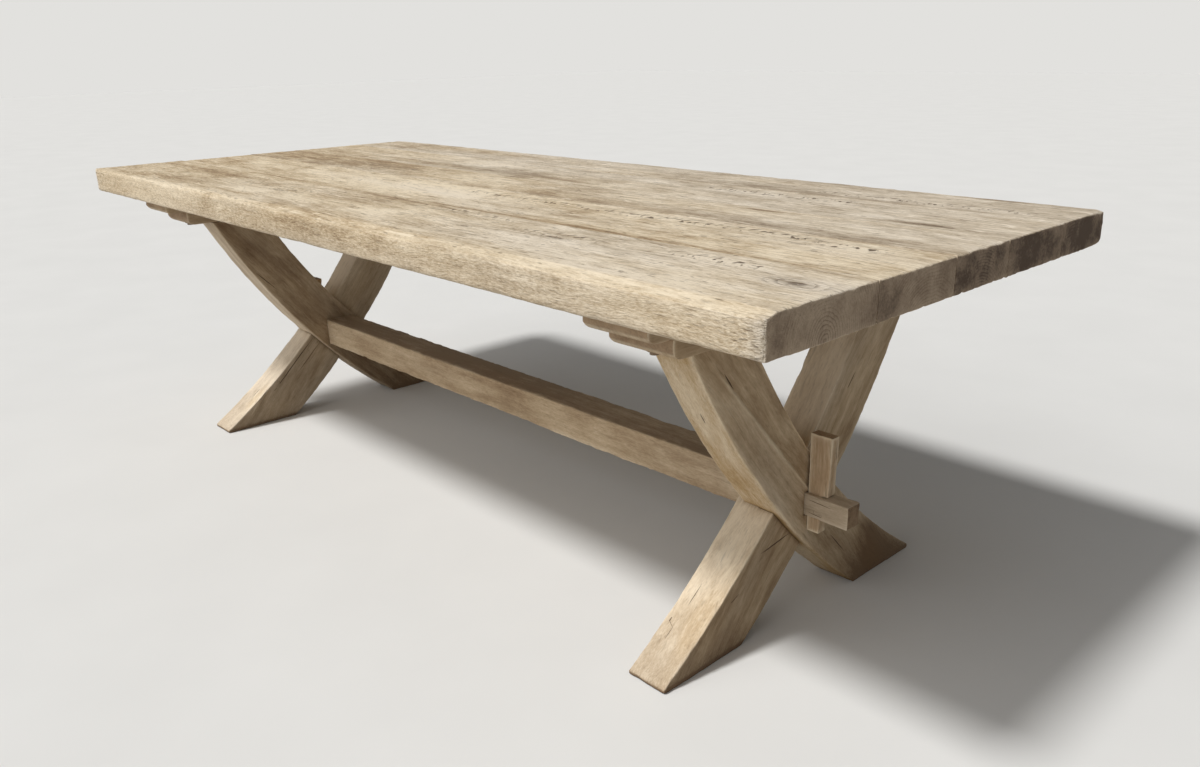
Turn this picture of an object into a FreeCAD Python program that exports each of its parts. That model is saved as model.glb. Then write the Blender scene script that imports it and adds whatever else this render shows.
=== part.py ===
"""Trestle dining table: a plank top on two crossed-leg trestles, tied by a keyed stretcher."""

import FreeCAD, Part
import Sketcher
import os
import re

# Frame: X along the top, -Y to the front, Z up, origin on the floor under the middle of the top.
# All lengths are millimetres. A name that ends in share is a fraction of the size that it follows.
SIZES = {
    # Top
    "table_height": 770,
    "top_length": 2440,
    "top_thickness": 66,
    "top_arris_radius": 9,
    "front_plank_width": 255,
    "front_inner_plank_width": 217,
    "middle_plank_width": 176,
    "rear_inner_plank_width": 207,
    "rear_plank_width": 195,
    "tongue_thickness": 12,
    "tongue_width": 40,
    "tongue_end_margin": 60,
    # Bearers under the top: a batten on the planks and a rail on the legs
    "bearer_setback": 314,
    "bearer_width": 141,
    "batten_length": 960,
    "batten_thickness": 37,
    "rail_length": 850,
    "rail_thickness": 36,
    "nose_radius": 22,
    # Bowed legs
    "trestle_setback": 329,
    "leg_thickness": 90,
    "leg_stagger": 18,
    "leg_width": 134,
    "leg_bow_radius": 1980,
    "leg_heel": 172,
    "leg_toe": 390,
    "leg_shoulder": 357,
    "leg_tenon_thickness": 36,
    "leg_tenon_length": 110,
    "leg_tenon_height": 26,
    "peg_radius": 6,
    # Stretcher and its keys
    "stretcher_axis_height": 248,
    "stretcher_width": 90,
    "stretcher_height": 84,
    "stretcher_arris_radius": 5,
    "tenon_width": 40,
    "tenon_height": 47,
    "tenon_projection": 96,
    "key_thickness": 23,
    "key_head_height": 121,
    "key_head_width": 48,
    "key_shoulder_width": 45,
    "key_shank_width": 31,
    "key_tip_width": 28,
    "key_tail": 33,
    "key_draw": 4,
    # Fixings
    "batten_screw_radius": 3,
    "batten_screw_head_radius": 6,
    "batten_screw_head_height": 5,
    "batten_screw_length": 76,
    "batten_screw_offset_share": 0.3,
    "rail_bolt_radius": 4,
    "rail_bolt_head_radius": 8,
    "rail_bolt_head_height": 6,
    "rail_bolt_length": 62,
    "washer_radius": 13,
    "washer_thickness": 2,
    # Fits
    "fit_clearance": 0.3,
    "cut_overrun": 5,
}

SIZE_WORD = re.compile(r"\b(" + "|".join(SIZES) + r")\b")

doc = FreeCAD.newDocument("trestle_dining_table")
sheet = doc.addObject("Spreadsheet::Sheet", "Dims")
for row, (name, value) in enumerate(SIZES.items(), start=1):
    sheet.set(f"A{row}", name)
    sheet.set(f"B{row}", str(value))
    sheet.setAlias(f"B{row}", name)
doc.recompute()


def formula(text):
    """Plain size names, turned into references to the sheet."""
    return SIZE_WORD.sub(r"Dims.\1", text)


def measure(text):
    """The number that a formula in size names gives now."""
    return float(sheet.evalExpression(formula(text)))


def bind(item, **properties):
    """Ties properties of an object to formulas in size names."""
    for name, text in properties.items():
        item.setExpression(name, formula(text))


def place(item, x, y, z):
    """Ties an object's position to formulas in size names."""
    for axis, text in zip("xyz", (x, y, z)):
        item.setExpression(f"Placement.Base.{axis}", formula(text))


# Plain solids and booleans

def block(name, x, y, z):
    """A box between two formulas along each axis."""
    box = doc.addObject("Part::Box", name)
    lows, highs = zip(x, y, z)
    for size, low, high in zip(("Length", "Width", "Height"), lows, highs):
        bind(box, **{size: f"({high}) - ({low})"})
    place(box, *lows)
    return box


def post(name, radius, x, y, z):
    """An upright cylinder at x, y between two heights."""
    cylinder = doc.addObject("Part::Cylinder", name)
    bind(cylinder, Radius=radius, Height=f"({z[1]}) - ({z[0]})")
    place(cylinder, x, y, z[0])
    return cylinder


def dowel(name, radius, x, y, z):
    """A cylinder that runs along X between two formulas."""
    cylinder = doc.addObject("Part::Cylinder", name)
    cylinder.Placement.Rotation = FreeCAD.Rotation(FreeCAD.Vector(0, 1, 0), 90)
    bind(cylinder, Radius=radius, Height=f"({x[1]}) - ({x[0]})")
    place(cylinder, x[0], y, z)
    return cylinder


def taper(name, low_radius, high_radius, x, y, z):
    """An upright cone at x, y between two heights."""
    cone = doc.addObject("Part::Cone", name)
    bind(cone, Radius1=low_radius, Radius2=high_radius, Height=f"({z[1]}) - ({z[0]})")
    place(cone, x, y, z[0])
    return cone


def fuse(name, pieces):
    """One solid from touching pieces."""
    joined = doc.addObject("Part::MultiFuse", name)
    joined.Shapes = pieces
    joined.Refine = True
    return joined


def cut(name, base, tools):
    """A base with all the tools taken away."""
    tool = tools[0]
    if len(tools) > 1:
        tool = doc.addObject("Part::Compound", f"{name}_tools")
        tool.Links = tools
    result = doc.addObject("Part::Cut", name)
    result.Base = base
    result.Tool = tool
    result.Refine = True
    return result


def common(name, base, tool):
    """What two solids share."""
    shared = doc.addObject("Part::Common", name)
    shared.Base = base
    shared.Tool = tool
    return shared


def group(name, pieces):
    """Like pieces kept as separate solids of one node."""
    together = doc.addObject("Part::Compound", name)
    together.Links = pieces
    return together


# Sketched bodies

def outline(body, name, plane, points):
    """A closed sketch on one of a body's own planes, each corner bound to two formulas."""
    sketch = body.newObject("Sketcher::SketchObject", name)
    support = [item for item in body.Origin.OriginFeatures if item.Role == plane][0]
    sketch.AttachmentSupport = [(support, "")]
    sketch.MapMode = "FlatFace"
    corners = [FreeCAD.Vector(measure(u), measure(v), 0) for u, v in points]
    count = len(corners)
    for index in range(count):
        sketch.addGeometry(Part.LineSegment(corners[index], corners[(index + 1) % count]))
    for index in range(count):
        sketch.addConstraint(Sketcher.Constraint("Coincident", index, 2, (index + 1) % count, 1))
    for index, (corner, texts) in enumerate(zip(corners, points)):
        for kind, value, text in zip(("DistanceX", "DistanceY"), corner, texts):
            which = sketch.addConstraint(Sketcher.Constraint(kind, -1, 1, index, 1, value))
            sketch.setExpression(f"Constraints[{which}]", formula(text))
    return sketch


def slab(name, x, y, z):
    """A body padded up from its own plan between formulas, and the pad."""
    body = doc.addObject("PartDesign::Body", name)
    plan = [(x[0], y[0]), (x[1], y[0]), (x[1], y[1]), (x[0], y[1])]
    sketch = outline(body, f"{name}_plan", "XY_Plane", plan)
    pad = body.newObject("PartDesign::Pad", f"{name}_pad")
    pad.Profile = sketch
    bind(pad, Length=f"({z[1]}) - ({z[0]})")
    body.setExpression("Placement.Base.z", formula(z[0]))
    doc.recompute()
    return body, pad


def round_edges(body, feature, radius, wanted):
    """Rounds the edges of a body's feature whose middle point, in the body's own heights, passes the test."""
    names = []
    for index, edge in enumerate(feature.Shape.Edges, start=1):
        if wanted(edge.CenterOfMass):
            names.append(f"Edge{index}")
    fillet = body.newObject("PartDesign::Fillet", f"{body.Name}_rounds")
    fillet.Base = (feature, names)
    bind(fillet, Radius=radius)
    body.Tip = fillet
    doc.recompute()


def near(value, text):
    """Whether a coordinate lies at a formula's value."""
    return abs(value - measure(text)) < measure("fit_clearance")


nodes = []


def keep(item, label):
    """Names a finished sub-part."""
    item.Label = label
    nodes.append(item)


# Heights and lengths that several pieces share
TOP_UNDER = "(table_height - top_thickness)"
RAIL_TOP = f"({TOP_UNDER} - batten_thickness)"
RAIL_UNDER = f"({RAIL_TOP} - rail_thickness)"
TENON_TOP = "(stretcher_axis_height + tenon_height/2)"
TENON_UNDER = "(stretcher_axis_height - tenon_height/2)"
HOLE = " + fit_clearance"

PLANKS = ["front_plank", "front_inner_plank", "middle_plank", "rear_inner_plank", "rear_plank"]
TOP_WIDTH = "(" + " + ".join(f"{plank}_width" for plank in PLANKS) + ")"
TOP_ENDS = ("-top_length/2", "top_length/2")

# Each plank's front and rear edge, counted from the front of the top
plank_edges = [f"-{TOP_WIDTH}/2"]
for plank in PLANKS:
    plank_edges.append(f"{plank_edges[-1]} + {plank}_width")
plank_spans = dict(zip(PLANKS, zip(plank_edges, plank_edges[1:])))

# The two trestles stand at these sides of the middle, each set back from its end of the top
SIDES = {"right": "1", "left": "-1"}


def trestle_middle(side):
    """The plane along X on which the two legs of a trestle meet."""
    return f"({SIDES[side]}*(top_length/2 - trestle_setback))"


def bearer_middle(side):
    """The middle plane of a trestle's batten and rail along X."""
    return f"({SIDES[side]}*(top_length/2 - bearer_setback))"


def about(middle, width):
    """A span of some width about a middle."""
    return f"{middle} - ({width})/2", f"{middle} + ({width})/2"


def mirrored(hand, span):
    """A span along Y, or its mirror image where the hand is -1."""
    if hand == "1":
        return span
    return f"-({span[1]})", f"-({span[0]})"


# Screws through each batten, two to a plank, on either side of the batten's middle
def batten_screw_places(side, plank):
    """Where the screws of one batten enter one plank."""
    low, high = plank_spans[plank]
    y = f"(({low}) + ({high}))/2"
    offset = "bearer_width*batten_screw_offset_share"
    return [(f"{bearer_middle(side)} {sign} {offset}", y) for sign in "-+"]


SCREW_TIP = f"({RAIL_TOP} + batten_screw_length)"
SCREW_NECK = f"({RAIL_TOP} + batten_screw_head_height)"

# Plank top with loose tongues in stopped grooves
TONGUE_ENDS = ("-top_length/2 + tongue_end_margin", "top_length/2 - tongue_end_margin")
TONGUE_MIDDLE = f"({TOP_UNDER} + top_thickness/2)"


def tongue_block(name, joint, allowance):
    """The tongue across one joint, or the groove for it with an allowance all round."""
    return block(
        name,
        (f"{TONGUE_ENDS[0]} - {allowance}", f"{TONGUE_ENDS[1]} + {allowance}"),
        about(f"({joint})", f"tongue_width + 2*{allowance}"),
        about(TONGUE_MIDDLE, f"tongue_thickness + 2*{allowance}"),
    )


joints = plank_edges[1:-1]
for number, joint in enumerate(joints, start=1):
    keep(tongue_block(f"Tongue{number}", joint, "0"), f"top_tongue_{number}")

for plank in PLANKS:
    span = plank_spans[plank]
    body, pad = slab(f"{plank}_blank", TOP_ENDS, span, (TOP_UNDER, "table_height"))

    def worn(middle, span=span):
        upper = near(middle.z, "top_thickness")
        end = near(abs(middle.x), "top_length/2")
        outer = any(near(middle.y, edge) for edge in span if edge in (plank_edges[0], plank_edges[-1]))
        return (upper and (end or outer)) or (end and outer)

    round_edges(body, pad, "top_arris_radius", worn)
    tools = []
    for number, joint in enumerate(joints, start=1):
        if joint in span:
            tools.append(tongue_block(f"{plank}_groove{number}", joint, "fit_clearance"))
    for side in SIDES:
        for number, (x, y) in enumerate(batten_screw_places(side, plank), start=1):
            heights = (f"{TOP_UNDER} - cut_overrun", f"{SCREW_TIP}{HOLE}")
            tools.append(post(f"{plank}_{side}_pilot{number}", f"batten_screw_radius{HOLE}", x, y, heights))
    keep(cut(f"{plank}_cut", body, tools), plank)

# Bowed legs: the outer arc runs from the heel on the floor to the shoulder under the rail
RISE = RAIL_UNDER
REACH = "(leg_shoulder + leg_heel)"
CHORD = f"sqrt({REACH}^2 + {RISE}^2)"
APOTHEM = f"sqrt(leg_bow_radius^2 - {CHORD}^2/4)"
BOW_Y = f"((leg_heel - leg_shoulder)/2 + {APOTHEM}*{RISE}/{CHORD})"
BOW_Z = f"({RISE}/2 + {APOTHEM}*{REACH}/{CHORD})"
INNER_RADIUS = "(leg_bow_radius - leg_width)"

# Where the leg's inner edge meets the rail, and the middle of its tenon there
CROOK = f"({BOW_Y} - sqrt({INNER_RADIUS}^2 - ({BOW_Z} - {RISE})^2))"
LEG_TENON_MIDDLE = f"((-leg_shoulder + {CROOK})/2)"
PEG_HEIGHT = f"({RAIL_UNDER} + leg_tenon_height/2)"


def bowed_bar(name, x, hand, allowance):
    """The bent bar of a leg from floor to rail, thicker by an allowance on both bowed faces."""
    middle = f"{hand}*{BOW_Y}"
    outer = dowel(f"{name}_outer", f"leg_bow_radius + {allowance}", x, middle, BOW_Z)
    inner = dowel(f"{name}_inner", f"{INNER_RADIUS} - {allowance}", x, middle, BOW_Z)
    reach = mirrored(hand, ("-leg_shoulder - cut_overrun", "leg_toe"))
    envelope = block(f"{name}_envelope", x, reach, ("0", RISE))
    return common(f"{name}_bar", cut(f"{name}_ring", outer, [inner]), envelope)


def leg_middle(side, hand):
    """The middle plane of a leg along X: the main leg stands proud of the leg that it crosses."""
    return f"({trestle_middle(side)} + {hand}*leg_stagger/2)"


def leg(label, side, hand):
    """A leg with a tenon for its rail, half lapped to the leg that it crosses."""
    other = "-1" if hand == "1" else "1"
    middle = leg_middle(side, hand)
    x = about(middle, "leg_thickness")
    tenon_middle = f"({hand}*{LEG_TENON_MIDDLE})"
    bar = bowed_bar(label, x, hand, "0")
    tenon = block(
        f"{label}_tenon",
        about(middle, "leg_tenon_thickness"),
        about(tenon_middle, "leg_tenon_length"),
        (RISE, f"{RISE} + leg_tenon_height"),
    )
    through = (f"{x[0]} - cut_overrun", f"{x[1]} + cut_overrun")
    lap_x = (through[0], trestle_middle(side)) if hand == "1" else (trestle_middle(side), through[1])
    lap = bowed_bar(f"{label}_lap", lap_x, other, "fit_clearance")
    mortise = block(
        f"{label}_mortise",
        through,
        about("0", "tenon_width + 2*fit_clearance"),
        about("stretcher_axis_height", "tenon_height + 2*fit_clearance"),
    )
    peg_hole = dowel(f"{label}_peg_hole", f"peg_radius{HOLE}", through, tenon_middle, PEG_HEIGHT)
    keep(cut(f"{label}_cut", fuse(f"{label}_whole", [bar, tenon]), [lap, mortise, peg_hole]), label)


for side in SIDES:
    leg(f"{side}_main_leg", side, "1")
    leg(f"{side}_cross_leg", side, "-1")

# Bearers with rounded noses: battens hold the planks, rails stand on the legs
BOLT_SPANS = {
    "inner": f"(-{CROOK}/2)",
    "outer": "((leg_shoulder + rail_length/2)/2)",
}
BOLT_TIP = f"({RAIL_UNDER} - washer_thickness + rail_bolt_length)"


def bolt_places(side):
    """Where the bolts of one rail stand."""
    return [(bearer_middle(side), f"{hand}*{reach}") for reach in BOLT_SPANS.values() for hand in ("-1", "1")]


def bearer(name, side, length, heights):
    """A bar across the top with its lower end edges rounded off."""
    span = about("0", length)
    body, pad = slab(f"{name}_blank", about(bearer_middle(side), "bearer_width"), span, heights)

    def nose(middle):
        return near(middle.z, "0") and any(near(middle.y, end) for end in span)

    round_edges(body, pad, "nose_radius", nose)
    return body


def bolt_holes(name, side, heights):
    """Clearance holes for the bolts of one rail."""
    return [
        post(f"{name}_bolt_hole{number}", f"rail_bolt_radius{HOLE}", x, y, heights)
        for number, (x, y) in enumerate(bolt_places(side), start=1)
    ]


for side in SIDES:
    batten = bearer(f"{side}_batten", side, "batten_length", (RAIL_TOP, TOP_UNDER))
    tools = bolt_holes(f"{side}_batten", side, (f"{RAIL_TOP} - cut_overrun", f"{BOLT_TIP}{HOLE}"))
    screws = []
    for plank in PLANKS:
        for number, (x, y) in enumerate(batten_screw_places(side, plank), start=1):
            name = f"{side}_{plank}_screw{number}"
            head = taper(
                f"{name}_head", "batten_screw_head_radius", "batten_screw_radius",
                x, y, (RAIL_TOP, SCREW_NECK),
            )
            shank = post(f"{name}_shank", "batten_screw_radius", x, y, (SCREW_NECK, SCREW_TIP))
            screws.append(fuse(name, [head, shank]))
            tools.append(taper(
                f"{name}_sink", f"batten_screw_head_radius{HOLE}", f"batten_screw_radius{HOLE}",
                x, y, (RAIL_TOP, SCREW_NECK),
            ))
            tools.append(post(
                f"{name}_hole", f"batten_screw_radius{HOLE}", x, y, (RAIL_TOP, f"{TOP_UNDER} + cut_overrun"),
            ))
    keep(cut(f"{side}_batten_cut", batten, tools), f"{side}_batten")
    keep(group(f"{side}_screw_group", screws), f"{side}_batten_screws")

for side in SIDES:
    width = about(bearer_middle(side), "bearer_width")
    rail = bearer(f"{side}_rail", side, "rail_length", (RAIL_UNDER, RAIL_TOP))
    tools = bolt_holes(f"{side}_rail", side, (f"{RAIL_UNDER} - cut_overrun", f"{RAIL_TOP} + cut_overrun"))
    pegs = []
    for hand in ("1", "-1"):
        tenon_middle = f"({hand}*{LEG_TENON_MIDDLE})"
        name = f"{side}_{'front' if hand == '1' else 'rear'}"
        tools.append(block(
            f"{name}_socket",
            about(leg_middle(side, hand), "leg_tenon_thickness + 2*fit_clearance"),
            about(tenon_middle, "leg_tenon_length + 2*fit_clearance"),
            (f"{RAIL_UNDER} - cut_overrun", f"{RAIL_UNDER} + leg_tenon_height{HOLE}"),
        ))
        through = (f"{width[0]} - cut_overrun", f"{width[1]} + cut_overrun")
        tools.append(dowel(f"{name}_peg_bore", f"peg_radius{HOLE}", through, tenon_middle, PEG_HEIGHT))
        pegs.append(dowel(f"{name}_peg", "peg_radius", width, tenon_middle, PEG_HEIGHT))
    keep(cut(f"{side}_rail_cut", rail, tools), f"{side}_rail")
    keep(group(f"{side}_peg_group", pegs), f"{side}_leg_pegs")

# Bolts and washers that hold each rail up to its batten
for side in SIDES:
    bolts = []
    washers = []
    for number, (x, y) in enumerate(bolt_places(side), start=1):
        name = f"{side}_bolt{number}"
        seat = f"({RAIL_UNDER} - washer_thickness)"
        head = post(f"{name}_head", "rail_bolt_head_radius", x, y, (f"{seat} - rail_bolt_head_height", seat))
        shank = post(f"{name}_shank", "rail_bolt_radius", x, y, (seat, BOLT_TIP))
        bolts.append(fuse(name, [head, shank]))
        disc = post(f"{name}_disc", "washer_radius", x, y, (seat, RAIL_UNDER))
        bore_heights = (f"{seat} - cut_overrun", f"{RAIL_UNDER} + cut_overrun")
        bore = post(f"{name}_bore", f"rail_bolt_radius{HOLE}", x, y, bore_heights)
        washers.append(cut(f"{name}_washer", disc, [bore]))
    keep(group(f"{side}_bolt_group", bolts), f"{side}_rail_bolts")
    keep(group(f"{side}_washer_group", washers), f"{side}_rail_washers")

# Stretcher: a beam between the trestles, with a tenon through each pair of legs
SHOULDER_X, FACE_X = (f"({text})" for text in about(trestle_middle("right"), "leg_thickness + leg_stagger"))
TENON_END_X = f"({FACE_X} + tenon_projection)"
BEAM_Y = about("0", "stretcher_width")
BEAM_Z = about("stretcher_axis_height", "stretcher_height")

beam, beam_pad = slab("stretcher_beam", (f"-{SHOULDER_X}", SHOULDER_X), BEAM_Y, BEAM_Z)


def along_beam(middle):
    """Whether an edge is one of the beam's four long arrises."""
    return near(middle.x, "0") and any(near(middle.y, side) for side in BEAM_Y)


round_edges(beam, beam_pad, "stretcher_arris_radius", along_beam)
tenon = block(
    "stretcher_tenon",
    (f"-{TENON_END_X}", TENON_END_X),
    about("0", "tenon_width"),
    (TENON_UNDER, TENON_TOP),
)
slots = []
for side, sign in SIDES.items():
    span = mirrored(sign, (f"{FACE_X} - key_draw", f"{FACE_X} + key_shank_width + 2*fit_clearance"))
    slots.append(block(
        f"{side}_key_slot",
        span,
        about("0", "key_thickness + 2*fit_clearance"),
        (f"{TENON_UNDER} - cut_overrun", f"{TENON_TOP} + cut_overrun"),
    ))
keep(cut("stretcher_cut", fuse("stretcher_whole", [beam, tenon]), slots), "stretcher")

# Keys: the head sits on the tenon, the shank goes down through it against the leg
KEY_OUTLINE = [
    ("0", "-(tenon_height + key_tail)"),
    ("key_tip_width", "-(tenon_height + key_tail)"),
    ("key_shank_width", "0"),
    ("key_shoulder_width", "0"),
    ("key_head_width", "key_head_height"),
    ("0", "key_head_height"),
]
for side, sign in SIDES.items():
    key = doc.addObject("PartDesign::Body", f"{side}_key_body")
    profile = outline(key, f"{side}_key_profile", "XZ_Plane", KEY_OUTLINE)
    pad = key.newObject("PartDesign::Pad", f"{side}_key_pad")
    pad.Profile = profile
    pad.SideType = "Symmetric"
    bind(pad, Length="key_thickness")
    if side == "left":
        key.Placement.Rotation = FreeCAD.Rotation(FreeCAD.Vector(0, 0, 1), 180)
    place(key, f"{sign}*({FACE_X} + fit_clearance)", "0", TENON_TOP)
    keep(key, f"{side}_key")

# Nothing is written unless every object is sound
doc.recompute()
faults = [item.Name for item in doc.Objects if {"Invalid", "Error"} & set(item.State)]
for item in nodes:
    if item.Shape.isNull() or not item.Shape.isValid() or not item.Shape.Solids:
        faults.append(item.Label)
if faults:
    raise SystemExit("unsound objects: " + ", ".join(faults))

os.makedirs("parts", exist_ok=True)
for item in nodes:
    item.Shape.exportStep(f"parts/{item.Label}.step")
    box = item.Shape.BoundBox
    print(f"{item.Label}: {len(item.Shape.Solids)} solids, {item.Shape.Volume / 1000:.1f} cm3, "
          f"{box.XLength:.1f} x {box.YLength:.1f} x {box.ZLength:.1f}")
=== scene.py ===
"""Looks of a trestle dining table in dry, bleached oak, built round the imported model. Units are metres."""

import itertools
import math

import bpy
import numpy as np
from mathutils import Matrix, Vector


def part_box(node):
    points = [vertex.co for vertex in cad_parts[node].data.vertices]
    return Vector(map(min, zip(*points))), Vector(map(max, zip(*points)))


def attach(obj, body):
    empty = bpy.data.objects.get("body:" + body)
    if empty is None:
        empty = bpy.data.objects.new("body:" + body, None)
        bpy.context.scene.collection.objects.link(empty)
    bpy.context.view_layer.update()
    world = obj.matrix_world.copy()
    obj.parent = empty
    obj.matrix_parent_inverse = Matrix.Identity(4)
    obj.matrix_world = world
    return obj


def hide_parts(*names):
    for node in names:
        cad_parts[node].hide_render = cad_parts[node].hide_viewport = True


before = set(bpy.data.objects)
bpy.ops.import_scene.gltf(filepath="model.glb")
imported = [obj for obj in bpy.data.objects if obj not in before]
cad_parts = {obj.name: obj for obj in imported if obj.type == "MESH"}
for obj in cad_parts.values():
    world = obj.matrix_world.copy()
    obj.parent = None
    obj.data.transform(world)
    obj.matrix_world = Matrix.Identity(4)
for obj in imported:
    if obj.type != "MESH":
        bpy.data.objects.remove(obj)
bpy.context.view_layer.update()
scene = bpy.context.scene
scene.view_settings.view_transform = "Standard"

# Noise over points, the same at each run
HASH_STEPS = np.array([374761393, 668265263, 362437])
HASH_SEED = 1274126177
HASH_MASK = 0xFFFF
SEED_SHIFT = 17.31


def noise(points, size, seed):
    """Smooth noise from -1 to 1 at each point, with features of the given size along each axis."""
    scaled = points / np.asarray(size, float) + seed * SEED_SHIFT
    cell = np.floor(scaled).astype(np.int64)
    part = scaled - cell
    part = part * part * (3.0 - 2.0 * part)
    total = np.zeros(len(points))
    for corner in itertools.product((0, 1), repeat=3):
        mixed = ((cell + np.array(corner)) * HASH_STEPS).sum(axis=1) + seed * HASH_SEED
        mixed = (mixed ^ (mixed >> 13)) * HASH_SEED
        mixed = (mixed ^ (mixed >> 16)) & HASH_MASK
        share = np.where(np.array(corner) == 1, part, 1.0 - part).prod(axis=1)
        total += share * (mixed / (HASH_MASK / 2.0) - 1.0)
    return total


def waves(points, parts, seed):
    """Noises added up; parts gives the share and the size of each."""
    return sum(share * noise(points, size, seed + step) for step, (share, size) in enumerate(parts))


def soft_step(value, low, high):
    """0 below low, 1 above high and a smooth rise between them."""
    share = np.clip((value - low) / (high - low), 0.0, 1.0)
    return share * share * (3.0 - 2.0 * share)


def stretch(value, low, high, soft_low, soft_high):
    """1 from low to high, with a soft end on either side."""
    return soft_step(value, low - soft_low, low) * soft_step(-value, -high - soft_high, -high)


# Blocks with worn edges
EDGE_SHARES = np.array([0.0, 0.05, 0.12, 0.25, 0.45, 0.7, 1.0])
FAR_AWAY = 10.0
EDGE_REACH = 0.006
EDGE_PULL = 3.0
LEAST_RADIUS = 0.0008
CHIP_REACH = 0.007
CHIP_SIZE = (0.032, 0.013, 0.013)
CHIP_FLAT = 0.7
CHIP_FLOOR = 0.25
CHIP_MOST = 0.8
FRAY_SIZE = (0.012, 0.008, 0.008)
FRAY_SHARE = 0.45
HOLLOW_SIZE = (0.30, 0.09, 0.09)
SWAY_WAVES = ((0.6, 0.16), (0.4, 0.045))


def stations(length, step, edge):
    """Places along one side of a block, closer together towards both ends."""
    count = max(2, round((length - 2.0 * edge) / step))
    middle = np.linspace(edge, length - edge, count + 1)[1:-1]
    rim = edge * EDGE_SHARES
    return np.concatenate([rim, middle, length - rim[::-1]])


def block(size, step, edge):
    """Points and quads of a closed block from the origin to size, divided at stations."""
    marks = [stations(length, gap, rim) for length, gap, rim in zip(size, step, edge)]
    shape = [len(mark) for mark in marks]
    places = np.indices(shape)
    outer = np.zeros(shape, bool)
    for axis, count in enumerate(shape):
        outer |= (places[axis] == 0) | (places[axis] == count - 1)
    index = np.full(shape, -1)
    index[outer] = np.arange(outer.sum())
    points = np.stack([mark[place[outer]] for mark, place in zip(marks, places)], axis=1)
    quads = []
    for axis in range(3):
        for end in (0, -1):
            face = np.take(index, end, axis)
            corners = [face[:-1, :-1], face[1:, :-1], face[1:, 1:], face[:-1, 1:]]
            quad = np.stack(corners, axis=-1).reshape(-1, 4)
            turned = (end == 0) != (axis == 1)
            quads.append(quad[:, ::-1] if turned else quad)
    return points, np.concatenate(quads)


def edge_distance(points, size, closed=()):
    """How far each point on a block is from the nearest open edge.

    closed names the sides, as an axis and 0 for low or 1 for high, that lie against a neighbour."""
    sides = [points.copy(), size - points]
    for axis, side in closed:
        sides[side][:, axis] = FAR_AWAY
    near = np.minimum(*sides)
    return np.sort(near, axis=1)[:, 1]


def edge_radius(points, size, tables):
    """A radius at each point of a block, led by the edges nearest to it.

    tables gives for a pair of axes the radii at the low and high sides of the first and of the second."""
    near = np.minimum(points, size - points)
    upper = (points > size / 2.0).astype(int)
    total = np.zeros(len(points))
    weights = np.zeros(len(points))
    for (first, second), table in tables.items():
        distance = np.hypot(near[:, first], near[:, second])
        weight = (distance + EDGE_REACH) ** -EDGE_PULL
        total += weight * np.array(table)[upper[:, first], upper[:, second]]
        weights += weight
    return total / weights


def soften(points, size, radius):
    """Points of a block with its edges rounded, and the way out of the block at each."""
    reach = radius[:, None]
    core = np.clip(points, np.minimum(reach, size / 2.0), np.maximum(size - reach, size / 2.0))
    out = points - core
    length = np.linalg.norm(out, axis=1, keepdims=True)
    out = out / np.maximum(length, 1e-9)
    return core + out * np.minimum(reach, length), out


def worn(size, step, edge, tables, seed, wobble, hollow, chips, closed=(), wane=None):
    """A block with uneven worn edges: points, the flat points they come from, ways out and quads."""
    size = np.asarray(size, float)
    flat, quads = block(size, step, edge)
    radius = edge_radius(flat, size, tables)
    if wane:
        radius = radius + wane(flat)
    radius = np.maximum(radius * (1.0 + wobble * waves(flat, SWAY_WAVES, seed)), LEAST_RADIUS)
    points, out = soften(flat, size, radius)
    depth = hollow * (0.5 + 0.5 * noise(flat, HOLLOW_SIZE, seed + 2))
    inside = np.clip(edge_distance(flat, size, closed) - CHIP_FLAT * radius, 0.0, None)
    rim = np.exp(-inside / CHIP_REACH)
    bite = np.clip(noise(flat, CHIP_SIZE, seed + 3) - CHIP_FLOOR, 0.0, None)
    fray = 0.5 + 0.5 * noise(flat, FRAY_SIZE, seed + 4)
    depth += np.minimum(chips * rim * (bite + FRAY_SHARE * fray), CHIP_MOST * radius)
    return points - out * depth[:, None], flat, out, quads


def all_edges(radius, cap=None):
    """Tables for edge_radius with one radius along the block and another, if given, round its two ends."""
    radii = {(1, 2): radius, (0, 2): cap or radius, (0, 1): cap or radius}
    return {pair: ((value, value), (value, value)) for pair, value in radii.items()}


# Making and dressing pieces
SHARP_ANGLE = math.radians(48)
WEAR_REACH = 0.010
FINE_WEAR_REACH = 0.0045
WEAR_EVEN = 0.65
WEAR_SIZE = 0.05
TONE_WAVES = ((0.35, (0.35, 0.2, 0.2)), (0.2, 0.07))
PLAIN_BLEACH = 0.2
PLAIN_FUZZ = 0.3
CORNER_END = (-0.0035, -0.001)
CORNER_SIDE = 0.006
CUTTER_STEP = 0.02
CUTTER_EDGE = 0.004
GRAIN_SHIFT = np.array([3.7, 1.9, 2.3])
ALONG = np.array([1.0, 0.0, 0.0])


def node_box(node):
    """A CAD node's lowest and highest corners as arrays."""
    low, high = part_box(node)
    return np.array(low), np.array(high)


def solid(name, points, quads):
    """A mesh object with its faces turned outward."""
    corners = points[quads[:, :3]]
    volume = np.einsum("ij,ij->i", corners[:, 0], np.cross(corners[:, 1], corners[:, 2])).sum()
    if volume < 0.0:
        quads = quads[:, ::-1]
    mesh = bpy.data.meshes.new(name)
    mesh.from_pydata(points.tolist(), [], quads.tolist())
    piece = bpy.data.objects.new(name, mesh)
    scene.collection.objects.link(piece)
    return piece


def settled_mesh(piece):
    """The piece's mesh with its modifiers worked in."""
    depsgraph = bpy.context.evaluated_depsgraph_get()
    mesh = bpy.data.meshes.new_from_object(piece.evaluated_get(depsgraph))
    piece.modifiers.clear()
    piece.data = mesh


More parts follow.
